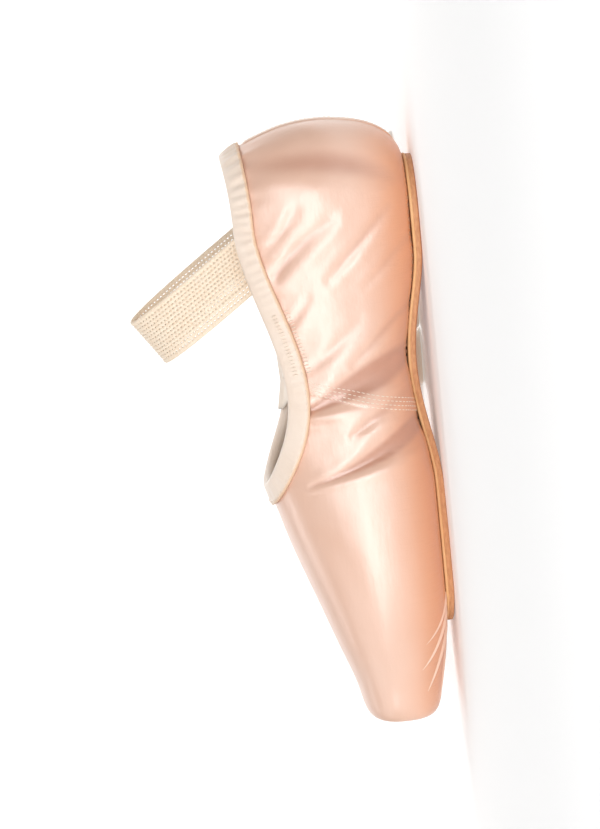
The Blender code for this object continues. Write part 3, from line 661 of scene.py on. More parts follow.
# The photo's own creases on the near side. Each is a soft trough from the sole's edge up, and its points
# give along, height, width and depth in millimetres. The far side has like ones, where the same bend
# puts them.
LEFT_CREASES = (
    ((86, 5, 4.6, 1.3), (91, 17, 5.6, 2.6), (97, 32, 4.2, 2.5), (105, 50, 1.3, 0.9)),
    ((112, 4, 4.2, 1.6), (118, 16, 3.8, 2.3), (125, 31, 2.2, 1.8), (132, 50, 0.9, 0.6)),
    ((101, 12, 2.6, 0.5), (107, 22, 2.4, 0.9), (114, 33, 1.3, 0.3)),
    ((34, 33, 2.4, 0.5), (43, 45, 2.6, 0.8), (53, 55, 2.0, 0.8)),
    ((31, 11, 2.2, 0.5), (42, 22, 2.0, 0.7), (56, 36, 1.6, 0.3)),
    ((43, 4, 2.4, 0.5), (52, 14, 1.8, 0.6), (60, 23, 1.2, 0.2)),
    ((68, 5, 2.4, 0.6), (76, 16, 1.8, 0.8), (88, 30, 1.2, 0.3)),
    ((72, 26, 2.2, 0.2), (82, 37, 2.0, 0.5), (90, 49, 1.4, 0.3)),
    ((62, 44, 1.4, 0.2), (70, 50, 1.5, 0.45), (77, 57, 1.2, 0.3)),
    ((45, 60, 1.3, 0.2), (38, 52, 1.6, 0.5), (29, 45, 1.8, 0.3)),
    ((13, 62, 3.4, 0.4), (12, 44, 4.6, 1.0), (16, 18, 4.6, 1.0), (22, 6, 3.4, 0.4)),
)
RIGHT_CREASES = (
    ((84, 5, 3.4, 0.7), (90, 18, 4.2, 1.4), (98, 36, 3.0, 1.3), (107, 51, 1.4, 0.5)),
    ((110, 4, 3.0, 1.0), (117, 17, 2.8, 1.3), (126, 33, 1.8, 0.9), (130, 47, 1.0, 0.3)),
    ((36, 34, 2.6, 0.4), (47, 46, 2.4, 0.8), (56, 55, 1.8, 0.6)),
    ((34, 9, 2.4, 0.5), (47, 21, 2.0, 0.7), (60, 32, 1.4, 0.2)),
    ((62, 5, 2.4, 0.6), (71, 17, 1.9, 0.7), (80, 28, 1.2, 0.2)),
    ((97, 8, 2.0, 0.5), (103, 24, 1.6, 0.5), (108, 36, 1.0, 0.2)),
    ((14, 60, 3.0, 0.3), (12, 40, 4.0, 0.8), (17, 14, 4.0, 0.8), (23, 6, 3.0, 0.2)),
)


def level_angle(along, level):
    """Level 0 is the sole's edge, 1 the widest line and 2 the topline or the ridge."""
    if level < 1:
        return (1 - level) * SOLE_ANGLE
    return (level - 1) * collar_angle(along)


def body_section(along):
    return [(along, *section_point(along, level_angle(along, level))) for level in SECTION_LEVELS]


def back_profile(level):
    """The heel's back on the centre line: it rounds under to the sole and leans in to the topline."""
    middle = 0.52 * HEEL_HEIGHT
    bottom = upper_bottom(OPENING_BACK)
    if level < 1:
        angle = (level - 1) * math.pi / 2
        along = OPENING_BACK * (1 - arc(math.cos(angle), 2.3))
        return along, middle + (middle - bottom) * arc(math.sin(angle), 2.3)
    angle = level_angle(HEEL_CENTRE, level)
    share = arc(math.sin(angle), 2.2) / arc(math.sin(level_angle(HEEL_CENTRE, 2)), 2.2)
    return HEEL_LEAN * share**1.9, middle + (HEEL_HEIGHT - middle) * share


def heel_section(turn, side, raised, levels=SECTION_LEVELS):
    """A section of the heel, turned about its centre, or at a fixed side distance by the back seam."""
    points = []
    for level in levels:
        half, height = section_point(HEEL_CENTRE, level_angle(HEEL_CENTRE, level))
        back_along, back_height = back_profile(level)
        angle = turn
        if side is not None:
            beside = max(side - SEAM_EDGE, 0) * (half - SEAM_EDGE) / (0.5 * HEEL_WIDTH - SEAM_EDGE)
            angle = math.acos(((min(side, SEAM_EDGE) + beside) / half) ** (FAN_POWER / 2))
        along = HEEL_CENTRE - (HEEL_CENTRE - back_along) * arc(math.sin(angle), FAN_POWER)
        height += (back_height - height) * math.sin(angle) ** 2
        window = smooth((level - SEAM_FOOT_LEVEL) / 0.08) * smooth((SEAM_TOP_LEVEL + 0.03 - level) / 0.06)
        points.append((along - SEAM_RAISE * raised * window, half * arc(math.cos(angle), FAN_POWER), height))
    return points


def toe_section(share):
    """Ahead of the box the section shrinks about its middle, round to the flat platform."""
    angle = share * math.pi / 2
    middle = 0.5 * (upper_bottom(TOE_START) + last_top(TOE_START))
    flat = (PLATFORM_WIDTH / TOE_WIDTH, PLATFORM_HEIGHT / TOE_HEIGHT)
    wide, high = (part + (1 - part) * math.cos(angle) for part in flat)
    along = TOE_START + PLATFORM_ROUNDING * math.sin(angle)
    base = body_section(TOE_START)
    return [(along, side * wide, middle + (height - middle) * high) for _, side, height in base]


BACK_TAPE = ((0.7, 1), (1.4, 1), (2.0, 1), (2.3, 0.9), (2.45, 0.35), (2.7, 0), (3.8, 0), (5.4, 0), (7.2, 0))
SEAM_ROWS = (0.090, 0.114)


def slowing(start, end, count):
    """Places from start to end that draw closer together, as where an opening closes."""
    return start + (end - start) * np.sin(np.linspace(0, math.pi / 2, count)[1:])


def upper_sections(tape):
    """All the sections of the left half, from the back seam to the middle of the platform."""
    sections = [heel_section(math.pi / 2, None, tape)]
    sections += [heel_section(None, side / 1000, raised * tape) for side, raised in BACK_TAPE]
    sections += [heel_section(float(turn), None, 0.0) for turn in np.radians(np.linspace(74, 0, 25)[:-1])]
    for places in (
        np.linspace(HEEL_CENTRE, SEAM_ROWS[0], 46), np.linspace(*SEAM_ROWS, 49)[1:],
        slowing(SEAM_ROWS[1], THROAT, 19), np.linspace(THROAT, SOLE_FRONT_CENTRE, 25)[1:],
        slowing(SOLE_FRONT_CENTRE, OPENING_FRONT, 15), np.linspace(OPENING_FRONT, TOE_START, 17)[1:],
    ):
        sections += [body_section(float(along)) for along in places]
    sections += [toe_section(float(share)) for share in np.linspace(0, 1, 13)[1:]]
    edge = sections[-1]
    middle = 0.5 * (edge[0][2] + edge[-1][2])
    for scale in (0.8, 0.55, 0.25):
        sections.append([(LENGTH, y * scale, middle + (height - middle) * scale) for _, y, height in edge])
    return sections


def evenly(section):
    """The same section in points at even distances, a little closer near the sole."""
    points = np.array(section)
    travel = travel_along(points)
    places = travel[-1] * np.linspace(0, 1, SECTION_POINTS) ** 1.12
    return np.stack([np.interp(places, travel, points[:, axis]) for axis in range(3)], axis=1)


def trough(points, crease):
    """How deep a crease is at each point, with a soft ridge beside it that is fuller on one flank."""
    rows = np.array(crease)
    knots = travel_along(rows[:, :2])
    fine = through(knots, rows, np.linspace(0, knots[-1], CREASE_STEPS))
    flat = points[:, :, (0, 2)] * 1000
    nearest = np.full(flat.shape[:2], np.inf)
    depth = np.zeros(flat.shape[:2])
    for a, b in zip(fine, fine[1:]):
        run = b[:2] - a[:2]
        offset = flat - a[:2]
        inside = np.clip((offset @ run) / (run @ run), 0, 1)
        away = np.linalg.norm(offset - inside[:, :, None] * run, axis=2)
        flank = np.sign(offset[:, :, 0] * run[1] - offset[:, :, 1] * run[0])
        width = np.maximum(a[2] + (b[2] - a[2]) * inside, 0.3)
        deep = np.maximum(a[3] + (b[3] - a[3]) * inside, 0)
        ridge = (0.34 + 0.16 * flank) * np.exp(-(((away - 2.0 * width) / (1.1 * width)) ** 2))
        cut = deep * (np.exp(-((away / width) ** 2)) - ridge)
        depth = np.where(away < nearest, cut, depth)
        nearest = np.minimum(away, nearest)
    return depth / 1000


def cloth_waves(grid, offset):
    """Slow unevenness of cloth on paste, from a fixed noise."""
    places = [Vector(point) * WAVES_PER_METRE + offset for point in grid.reshape(-1, 3)]
    return np.array([noise.noise(at) + 0.5 * noise.noise(at * 2.3) for at in places]).reshape(grid.shape[:2])


def seam_place(level):
    """Where the side seam's front row lies along the shoe, from the topline at 0 to the sole at 1."""
    return SIDE_SEAM_TOP + (SIDE_SEAM_FOOT - SIDE_SEAM_TOP) * level**0.85


def dressed(grid, creases, offset):
    """How far the satin stands off the last: creases, cloth waves, the lapped side seam and the puckers."""
    along = grid[:, :, 0]
    climb = travel_along(grid, 1)
    whole = climb[:, -1][:, None]
    from_top = whole - climb
    soft = 1 - smooth((along - SOFT_UP_TO) / SOFT_FADE)
    by_sole = 1 - HELD_AT_SOLE + HELD_AT_SOLE * smooth((climb - 0.006) / 0.012)
    seam = seam_place(np.clip(from_top / whole, 0, 1))
    stiff = 1 - HELD_AT_SEAM * np.exp(-(((along - seam + 0.5 * SEAM_BAND) / SEAM_BAND) ** 2))
    rise = -CLOTH_WAVE * (0.14 + 0.86 * soft) * cloth_waves(grid, offset) * stiff * by_sole
    marks = np.zeros(along.shape)
    for crease in creases:
        cut = trough(grid, crease)
        rise -= cut * by_sole * stiff
        marks = np.maximum(marks, cut)
    lap = smooth((seam + 0.0005 - along) / 0.0007) * smooth((along - seam + SEAM_BAND + 0.0010) / 0.0040)
    rise += SEAM_LAP * lap
    top = travel_along(grid[:, -1])[:, None]
    collar = along[:, -1][:, None]
    open_part = (collar < THROAT).astype(float)
    heel = 1 + 1.6 * smooth((0.05 - collar) / 0.04)
    pucker = np.sin(top / PUCKER_STEP + 2.4 * np.sin(top / PUCKER_SWAY + offset.x)) * heel
    rise += PUCKER_DEPTH * np.exp(-((from_top / PUCKER_REACH) ** 2)) * open_part * pucker
    held = smooth(from_top / 0.010) * open_part + 1 - open_part
    return np.where(rise > RISE_LIMIT, RISE_LIMIT + (rise - RISE_LIMIT) * held, rise), marks


plain_grid, taped_grid = (
    np.array([evenly(section) for section in upper_sections(tape)]) for tape in (0.0, 1.0)
)
last_grid = plain_grid
by_toe = np.exp(-(((last_grid[:, 0, 0] - TOE_START) / TOE_BLEND) ** 2))[:, None, None]
by_toe[-TOE_ROWS:] *= np.linspace(1, 0, TOE_ROWS)[:, None, None]
by_toe *= smooth((last_grid[:, 0, 0] - OPENING_FRONT - 0.003) / 0.007)[:, None, None]
for _ in range(TOE_PASSES):
    even = last_grid.copy()
    even[1:-1] = 0.5 * last_grid[1:-1] + 0.25 * (last_grid[:-2] + last_grid[2:])
    last_grid = last_grid + (even - last_grid) * by_toe
shift = np.array(place(0, 0, 0))
flip = np.array((1, -1, 1))
left_rise, left_marks = dressed(last_grid, LEFT_CREASES, Vector((0, 0, 0)))
right_rise, right_marks = dressed(last_grid, RIGHT_CREASES, Vector((3.7, 1.1, 0.4)))
by_ridge = smooth(np.abs(last_grid[:, :, 1]) / RIDGE_BLEND)
even_rise = 0.5 * (left_rise + right_rise)
outward = grid_normals(last_grid)
outward[:, :, 1] = np.where(last_grid[:, :, 1] < 1e-6, 0, outward[:, :, 1])
if np.sum(outward[:, :, 1] * last_grid[:, :, 1]) < 0:
    outward = -outward
walls = np.array([wall(along) for along in last_grid[:, :, 0].ravel()]).reshape(last_grid.shape[:2])


def laid(base, rise, side):
    """One side of the upper in the frame, raised off its base along the last's normals."""
    return (base + outward * rise[:, :, None]) * side + shift


def satin(name, light, dark, deep=0.92):
    """Peach satin: a tight smooth weave with a broad soft gloss, with painted shade: deep orange towards the
    sole's edge and darker down in its creases.
    """
    finish = Finish(name)
    fold = finish.attribute("fold")
    tape = finish.attribute("tape")
    cloud, base = finish.clouded(38.0, 3.0, dark, light)
    base = finish.mix(tape * 0.6, base, (0.91, 0.70, 0.58))
    low = 1 - finish.axis("Z").between(0.004, 0.027)
    # Painted shade: the satin turns a deep orange towards the sole's edge, where the lower wall falls into
    # shade; deep sets how much.
    base = finish.mix(low * deep, base, (0.74, 0.29, 0.115))
    # Painted shade: the creases darken to a brown peach by their fold depth, for the shade down in them.
    base = finish.mix(fold.between(0.04, 1.0) * 0.90, base, (0.56, 0.26, 0.165))
    thread = finish.noise((350.0, 2400.0, 2400.0))
    slub = finish.noise((60.0, 900.0, 900.0))
    crumple = finish.noise((120.0, 260.0, 200.0), 3.0, 0.6)
    pulls = finish.noise((420.0, 70.0, 45.0), 3.0, 0.6)
    normal = finish.bump(thread, 0.00008, 0.22, finish.bump(slub, 0.00012, 0.30))
    normal = finish.bump(pulls * low, 0.0010, 0.45, finish.bump(crumple, 0.0007, 0.22, normal))
    return finish.surface(
        Base_Color=base, Roughness=0.27 + 0.09 * cloud + 0.08 * thread, Normal=normal,
        Sheen_Weight=0.06, Sheen_Roughness=0.4, Specular_IOR_Level=0.95, IOR=1.72,
        Coat_Weight=0.30, Coat_Roughness=0.26,
    )


def cotton(name, light, dark):
    """Plain cotton cloth: a fine crossed weave, matt."""
    finish = Finish(name)
    _, base = finish.clouded(45.0, 4.0, light, dark)
    inputs = {"Vector": finish.coordinates(), "Scale": 520.0}
    weft, warp = (finish.node("ShaderNodeTexWave", {"bands_direction": way}, inputs) for way in "XY")
    normal = finish.bump(weft + warp, 0.00008, 0.5)
    return finish.surface(
        Base_Color=base, Roughness=0.85, Normal=normal, Sheen_Weight=0.2, Specular_IOR_Level=0.3,
    )


SATIN = satin("peach_satin", (0.86, 0.575, 0.445), (0.80, 0.475, 0.335))
LINING = cotton("cotton_lining", (0.88, 0.81, 0.71), (0.80, 0.71, 0.60))


def half_wall(outside, inside, points, faces, finishes):
    """One half of the hollow upper: both faces of its wall, and the rims at the collar and the sole."""
    rows, columns = outside.shape[:2]
    start, below = len(points), rows * columns + 1
    for grid, finish in ((outside, 0), (inside, 1)):
        base = len(points)
        points.extend(grid.reshape(-1, 3))
        points.append(0.5 * (grid[-1, 0] + grid[-1, -1]))
        last = base + (rows - 1) * columns
        skin = [tuple(corner + base for corner in face) for face in grid_faces(rows, columns)]
        skin += [(last + j, last + columns, last + j + 1) for j in range(columns - 1)]
        faces.extend(skin)
        finishes.extend([finish] * len(skin))
    for i in range(rows - 1):
        for j, limit in ((0, OPENING_FRONT), (columns - 1, THROAT)):
            if last_grid[i + 1, j, 0] <= limit + 1e-6:
                a = start + i * columns + j
                faces.append((a, a + columns, a + columns + below, a + below))
                finishes.append(1)

WELD_REACH = 0.00001


def make_upper():
    """Both halves, welded on the centre line. Gives back the outside, for what lies on it to find."""
    points, faces, finishes = [], [], []
    for rise, side in ((left_rise, 1), (right_rise, flip)):
        rise = even_rise + (rise - even_rise) * by_ridge
        outside = laid(last_grid + (taped_grid - plain_grid), rise, side)
        half_wall(outside, laid(last_grid, rise - walls, side), points, faces, finishes)
    piece = sheet_object("upper_satin", points, faces, SATIN)
    data = piece.data
    data.materials.append(LINING)
    data.polygons.foreach_set("material_index", finishes)
    taped = np.zeros(last_grid.shape[:2])
    taped[:7] = np.array([1, 1, 1, 1, 0.9, 0.3, 0])[:, None]
    # The crease depths go to the satin as its fold mark, which darkens its colour there as painted shade.
    folds = (left_marks / FULL_FOLD, right_marks / FULL_FOLD)
    for name, (left, right) in (("fold", folds), ("tape", (taped, taped))):
        values = np.concatenate([np.append(half.ravel(), 0) for half in (left, left, right, right)])
        mark(data, name, np.clip(values, 0, 1))
    welded = bmesh.new()
    welded.from_mesh(data)
    bmesh.ops.remove_doubles(welded, verts=welded.verts, dist=WELD_REACH)
    bmesh.ops.dissolve_degenerate(welded, edges=welded.edges, dist=WELD_REACH / 2)
    bmesh.ops.recalc_face_normals(welded, faces=welded.faces)
    welded.to_mesh(data)
    welded.free()
    data.shade_smooth()
    outer = [tuple(p.vertices) for p in data.polygons if p.material_index == 0]
    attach(piece, "root")
    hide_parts("upper")
    return BVHTree.FromPolygons([v.co.copy() for v in data.vertices], outer)


surface = make_upper()

# Toe pleats. The satin's fullness is drawn under the toe and caught by the sole: thin sharp folds that
# fan out from the sole's front edge and die away at the platform's rim.
PLEAT_WIDTH = 0.0015
PLEAT_RAISE = 0.0009
PLEAT_STEPS = 30
PLEAT_START = 0.0008
PLEAT_SINK = 0.00005
PLEAT_PROFILE = (
    (-0.80, -0.40), (-0.62, 0.02), (-0.36, 0.28), (-0.12, 0.70), (0.04, 0.97),
    (0.12, 1.00), (0.18, 0.86), (0.20, 0.45), (0.17, 0.05), (0.20, -0.40),
)
Pleat = namedtuple("Pleat", "start_side end_side end_along bow size")
PLEATS = (
    Pleat(0.17, 0.24, 0.988, 0.02, 1.00),
    Pleat(0.46, 0.60, 0.980, 0.05, 1.00),
    Pleat(0.75, 0.93, 0.950, 0.06, 1.00),
    Pleat(0.93, 1.07, 0.908, 0.05, 0.95),
    Pleat(0.985, 1.17, 0.862, 0.02, 0.75),
)


def facing(normal, way):
    """The normal, turned about where it points away from a given side."""
    return -normal if normal.dot(way) < 0 else normal


def pleat_rings(pleat, side_sign):
    """A fold that lies over to one side: steep on one flank, soft on the other, fading to its tip."""
    start_side = pleat.start_side * 0.5 * SOLE_FORE_WIDTH
    widening = pleat.end_side * 0.5 * TOE_WIDTH - start_side
    reach = rounding(2 * start_side / SOLE_FORE_WIDTH, FAN_POWER)
    start_along = SOLE_FRONT_CENTRE + (SOLE_FRONT - SOLE_FRONT_CENTRE) * reach - PLEAT_START
    run = pleat.end_along * LENGTH - start_along
    rings = []
    for share in np.linspace(0, 1, PLEAT_STEPS):
        side = start_side + widening * (share + pleat.bow * math.sin(math.pi * share))
        below = place(start_along + run * share, side_sign * side, -0.02)
        hit, normal, _, _ = surface.ray_cast(below, Vector((0, 0, 1)))
        if hit is None:
            break
        normal = facing(normal, Vector((0, 0, -1)))
        across = normal.cross(Vector((run, side_sign * widening, 0))).normalized() * side_sign
        high = pleat.size * PLEAT_RAISE * (1 - share**3.0) * (0.55 + 0.45 * smooth(share / 0.2))
        wide = pleat.size * PLEAT_WIDTH * (1 - 0.55 * share**2.5)
        rings.append([hit + across * (w * wide) + normal * (h * high - PLEAT_SINK) for w, h in PLEAT_PROFILE])
    return rings


def capped_tube(rings, points, faces):
    """Adds a closed tube over rings of points to the lists of a mesh."""
    base, columns = len(points), len(rings[0])
    last = base + (len(rings) - 1) * columns
    for ring in rings:
        points.extend(ring)
    for a in range(base, last, columns):
        for j in range(columns):
            k = (j + 1) % columns
            faces.append((a + j, a + k, a + columns + k, a + columns + j))
    faces.append(tuple(base + j for j in reversed(range(columns))))
    faces.append(tuple(last + j for j in range(columns)))


def outward_faces(piece):
    mesh = bmesh.new()
    mesh.from_mesh(piece.data)
    bmesh.ops.recalc_face_normals(mesh, faces=mesh.faces)
    mesh.to_mesh(piece.data)
    mesh.free()
    piece.data.shade_smooth()


# Painted highlight: the pleats take a paler copy of the peach satin, for the light on their ridges, with less
# of its painted shade by the sole.
LIT_PLEAT_FINISH = satin("pleats_lit_satin", (0.94, 0.77, 0.65), (0.91, 0.69, 0.55), deep=0.40)
points, faces = [], []
for pleat in PLEATS:
    for side_sign in (1, -1):
        capped_tube(pleat_rings(pleat, side_sign), points, faces)
pleats = sheet_object("toe_pleats", points, faces, LIT_PLEAT_FINISH)
outward_faces(pleats)
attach(pleats, "root")

# Outsole. One thin tan leather sole, smooth and redder at heel and waist, buffed and scored under the
# forefoot, with a pale cut edge. It is stitched to the turned-in satin and pressed flat.
SOLE_CORNER = 0.0009


def plate_half(along, inset):
    """Half width of a plate whose edge lies inside the outsole's, everywhere by the same inset."""
    full = sole_half(max(along, SOLE_HEEL_CENTRE), inset)
    if along < SOLE_HEEL_CENTRE:
        share = (SOLE_HEEL_CENTRE - along) / (SOLE_HEEL_CENTRE - (SOLE_BACK + inset))
    elif along > SOLE_FRONT_CENTRE:
        share = (along - SOLE_FRONT_CENTRE) / (SOLE_FRONT - inset - SOLE_FRONT_CENTRE)
    else:
        return full
    return full * rounding(min(share, 1.0), FAN_POWER)


def sole_places(inset, angles, count):
    """Places along the sole, closer together where its two ends round off."""
    turns = np.radians(angles)
    heel = SOLE_HEEL_CENTRE - (SOLE_HEEL_CENTRE - SOLE_BACK - inset) * np.cos(turns)
    toe = SOLE_FRONT_CENTRE + (SOLE_FRONT - inset - SOLE_FRONT_CENTRE) * np.cos(turns[::-1])
    return [*heel, *np.linspace(SOLE_HEEL_CENTRE, SOLE_FRONT_CENTRE, count)[1:-1], *toe]


def plate(name, inset, lift, thickness, corner, finish):
    """A thin bottom layer that follows the floor line, with rounded edges."""
    rings = []
    for along in sole_places(inset, np.linspace(2, 90, 22), 90):
        low = floor_line(along) + lift(along)
        half = plate_half(along, inset)
        bevel = min(corner, 0.4 * half)
        turns = np.radians((0, 22, 45, 68, 90))
        side = [(half - bevel * (1 - math.sin(t)), low + bevel * (1 - math.cos(t))) for t in turns]
        side += [(half, low + thickness - bevel * 0.5), (half - bevel * 0.5, low + thickness)]
        inner = [(half * f, low) for f in (-0.6, -0.2, 0.2, 0.6)]
        rings.append([place(along, y, z) for y, z in inner + side + [(-y, z) for y, z in reversed(side)]])
    points, faces = [], []
    capped_tube(rings, points, faces)
    piece = sheet_object(name, points, faces, finish)
    outward_faces(piece)
    piece.data.set_sharp_from_angle(angle=math.radians(50))
    return piece


def sole_leather():
    """Tan leather: red-brown and smooth behind, paler and scored in front, with a bright cut edge."""
    finish = Finish("sole_leather")
    x = finish.axis("X")
    cloud = finish.noise(55.0, 5.0)
    fore = (x + 0.012 * cloud).between(-0.030, 0.010)
    base = finish.mix(fore, (0.45, 0.17, 0.085), (0.62, 0.31, 0.17))
    base = finish.mix(x.between(-0.115, -0.045), (0.50, 0.22, 0.13), base)
    one_way, other_way = (
        finish.noise((200.0, 1500.0, 900.0), 3.0, turn=(0.0, 0.0, turn)) for turn in (0.8, -0.6)
    )
    score = one_way.between(0.46, 0.66) * 0.6 + other_way.between(0.48, 0.68) * 0.5
    base = finish.mix(score * fore * 0.65, base, (0.76, 0.46, 0.27))
    smear = finish.noise((30.0, 90.0, 30.0), 4.0, 0.6)
    base = finish.mix(smear.between(0.45, 0.75) * 0.35, base, (0.40, 0.15, 0.075))
    base = finish.mix(x.between(0.062, 0.080) * 0.6, base, (0.43, 0.18, 0.085))
    geometry = finish.node("ShaderNodeNewGeometry", {}, {}, "Normal")
    facing = finish.node("ShaderNodeSeparateXYZ", {}, {0: geometry}, "Z")
    edge = 1 - (facing * -1.0).between(0.25, 0.85)
    layer = finish.noise((420.0, 420.0, 1500.0), 3.0)
    cut = finish.mix(layer.between(0.30, 0.75), (0.58, 0.28, 0.13), (0.72, 0.38, 0.19))
    base = finish.mix(edge * 0.9, base, cut)
    pore = finish.noise(1500.0, 3.0)
    normal = finish.bump(score * fore, 0.00030, 0.7, finish.bump(pore, 0.00010, 0.4))
    normal = finish.bump(layer, 0.00012, 0.4, normal)
    rough = 0.48 + 0.22 * fore + 0.10 * cloud
    return finish.surface(Base_Color=base, Roughness=rough, Normal=normal, Specular_IOR_Level=0.4)


outsole = plate("outsole_leather", 0.0, lambda along: 0.0, SOLE_THICKNESS, SOLE_CORNER, sole_leather())
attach(outsole, "root")
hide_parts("outsole")

SOLE_BEAD_RADIUS = 0.00062
SOLE_BEAD_SIDES = 8
SOLE_BEAD_OUT = 0.0002


def sole_outline(inset, lift):
    """Points all round the sole, from the heel along the left side to the front and back."""
    places = sole_places(inset, np.linspace(0, 90, 20), 80)
    left = [place(s, plate_half(s, inset), floor_line(s) + lift) for s in places]
    return left + [Vector((p.x, -p.y, p.z)) for p in reversed(left[1:-1])]


def bead_leather():
    finish = Finish("bead_leather")
    cloud, base = finish.clouded(160.0, 3.0, (0.78, 0.43, 0.18), (0.90, 0.58, 0.30))
    return finish.surface(
        Base_Color=base, Roughness=0.42 + 0.15 * cloud, Normal=finish.bump(cloud, 0.0003, 0.4),
        Specular_IOR_Level=0.5,
    )


def make_bead():
    """The pale rolled edge that shows along the sole where it meets the satin."""
    path = sole_outline(SOLE_BEAD_OUT, SOLE_THICKNESS - 0.5 * SOLE_BEAD_RADIUS)
    points, upwards = [], Vector((0, 0, 1))
    for i, here in enumerate(path):
        out = (path[(i + 1) % len(path)] - path[i - 1]).normalized().cross(upwards).normalized()
        for turn in np.linspace(0, 2 * math.pi, SOLE_BEAD_SIDES + 1)[:-1]:
            points.append(here + (out * math.cos(turn) + upwards * math.sin(turn)) * SOLE_BEAD_RADIUS)
    faces = grid_faces(len(path), SOLE_BEAD_SIDES, closed_rows=True, closed_columns=True)
    piece = sheet_object("sole_bead", points, faces, bead_leather())
    outward_faces(piece)
    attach(piece, "root")


make_bead()

# Insole. A thin board faced with plain cotton, resting on the turned-in edge of the upper.
INSOLE_THICKNESS = 0.002


def insole_lift(along):
    return SOLE_THICKNESS + GAP + wall(along) + 3 * GAP


INSOLE_CLOTH = cotton("insole_cloth", (0.82, 0.75, 0.64), (0.72, 0.62, 0.50))
insole = plate("insole_board", SOLE_OVERLAP / 2, insole_lift, INSOLE_THICKNESS, 0.0005, INSOLE_CLOTH)
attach(insole, "root")
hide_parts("insole")

# Collar binding. A cream satin tape folded over the whole topline and stitched through, slightly
# gathered round the heel where the drawstring runs inside it.
BINDING_DEPTH = 0.0075
BINDING_RUFFLE = 0.00042
BINDING_STEP = 0.00055
GATHER_FINE = 0.00056
GATHER_WIDE = 0.0013
GATHER_SWAY = 0.0049
STITCH_INSET = 0.0011
STITCH_LIFT = 0.00012
FOLD_ROOM = 0.0002
COLLAR_SPACING = 0.0006
TAPE_EDGE_ROW = 4


def collar_points():
    """The topline as one loop over both halves, from the back seam round by the throat."""
    rows = last_grid[:, -1]
    left = rows[(rows[:, 0] < THROAT - 1e-6) & (np.arange(len(rows)) != TAPE_EDGE_ROW)]
    keep = [left[0]]
    for point in left[1:]:
        if np.linalg.norm(point - keep[-1]) > COLLAR_SPACING:
            keep.append(point)
    throat = np.array((THROAT, 0.0, last_top(THROAT)))
    coarse = np.array([*keep, throat, *(point * flip for point in reversed(keep[1:])), keep[0]]) + shift
    travel = travel_along(coarse)
    count = round(travel[-1] / BINDING_STEP)
    padded = np.concatenate((travel[-5:-1] - travel[-1], travel, travel[-1] + travel[1:5]))
    wrapped = np.concatenate((coarse[-5:-1], coarse, coarse[1:5]))
    return [Vector(p) for p in through(padded, wrapped, [travel[-1] * i / count for i in range(count)])]


def binding_satin():
    finish = Finish("binding_satin")
    cloud, base = finish.clouded(120.0, 3.0, (0.86, 0.69, 0.56), (0.92, 0.79, 0.68))
    # Painted shade: a dark orange line along the tape's lower edges, for the shade at its turned-under edge.
    base = finish.mix(finish.attribute("edge_shade").between(0.25, 1.0) * 0.75, base, (0.83, 0.50, 0.27))
    thread = finish.noise(2200.0, 2.0)
    normal = finish.bump(finish.noise(420.0, 2.0), 0.0004, 0.40, finish.bump(thread, 0.00008, 0.5))
    return finish.surface(
        Base_Color=base, Roughness=0.36 + 0.12 * cloud, Normal=normal,
        Sheen_Weight=0.25, Sheen_Roughness=0.4, Specular_IOR_Level=0.5,
    )


def smooth_last():
    """Both halves of the plain last in the frame, for the binding to lie on."""
    points = np.concatenate([(half + shift).reshape(-1, 3) for half in (last_grid, last_grid * flip)])
    left = grid_faces(*last_grid.shape[:2])
    right = [tuple(corner + len(points) // 2 for corner in face[::-1]) for face in left]
    return BVHTree.FromPolygons([Vector(p) for p in points], left + right)


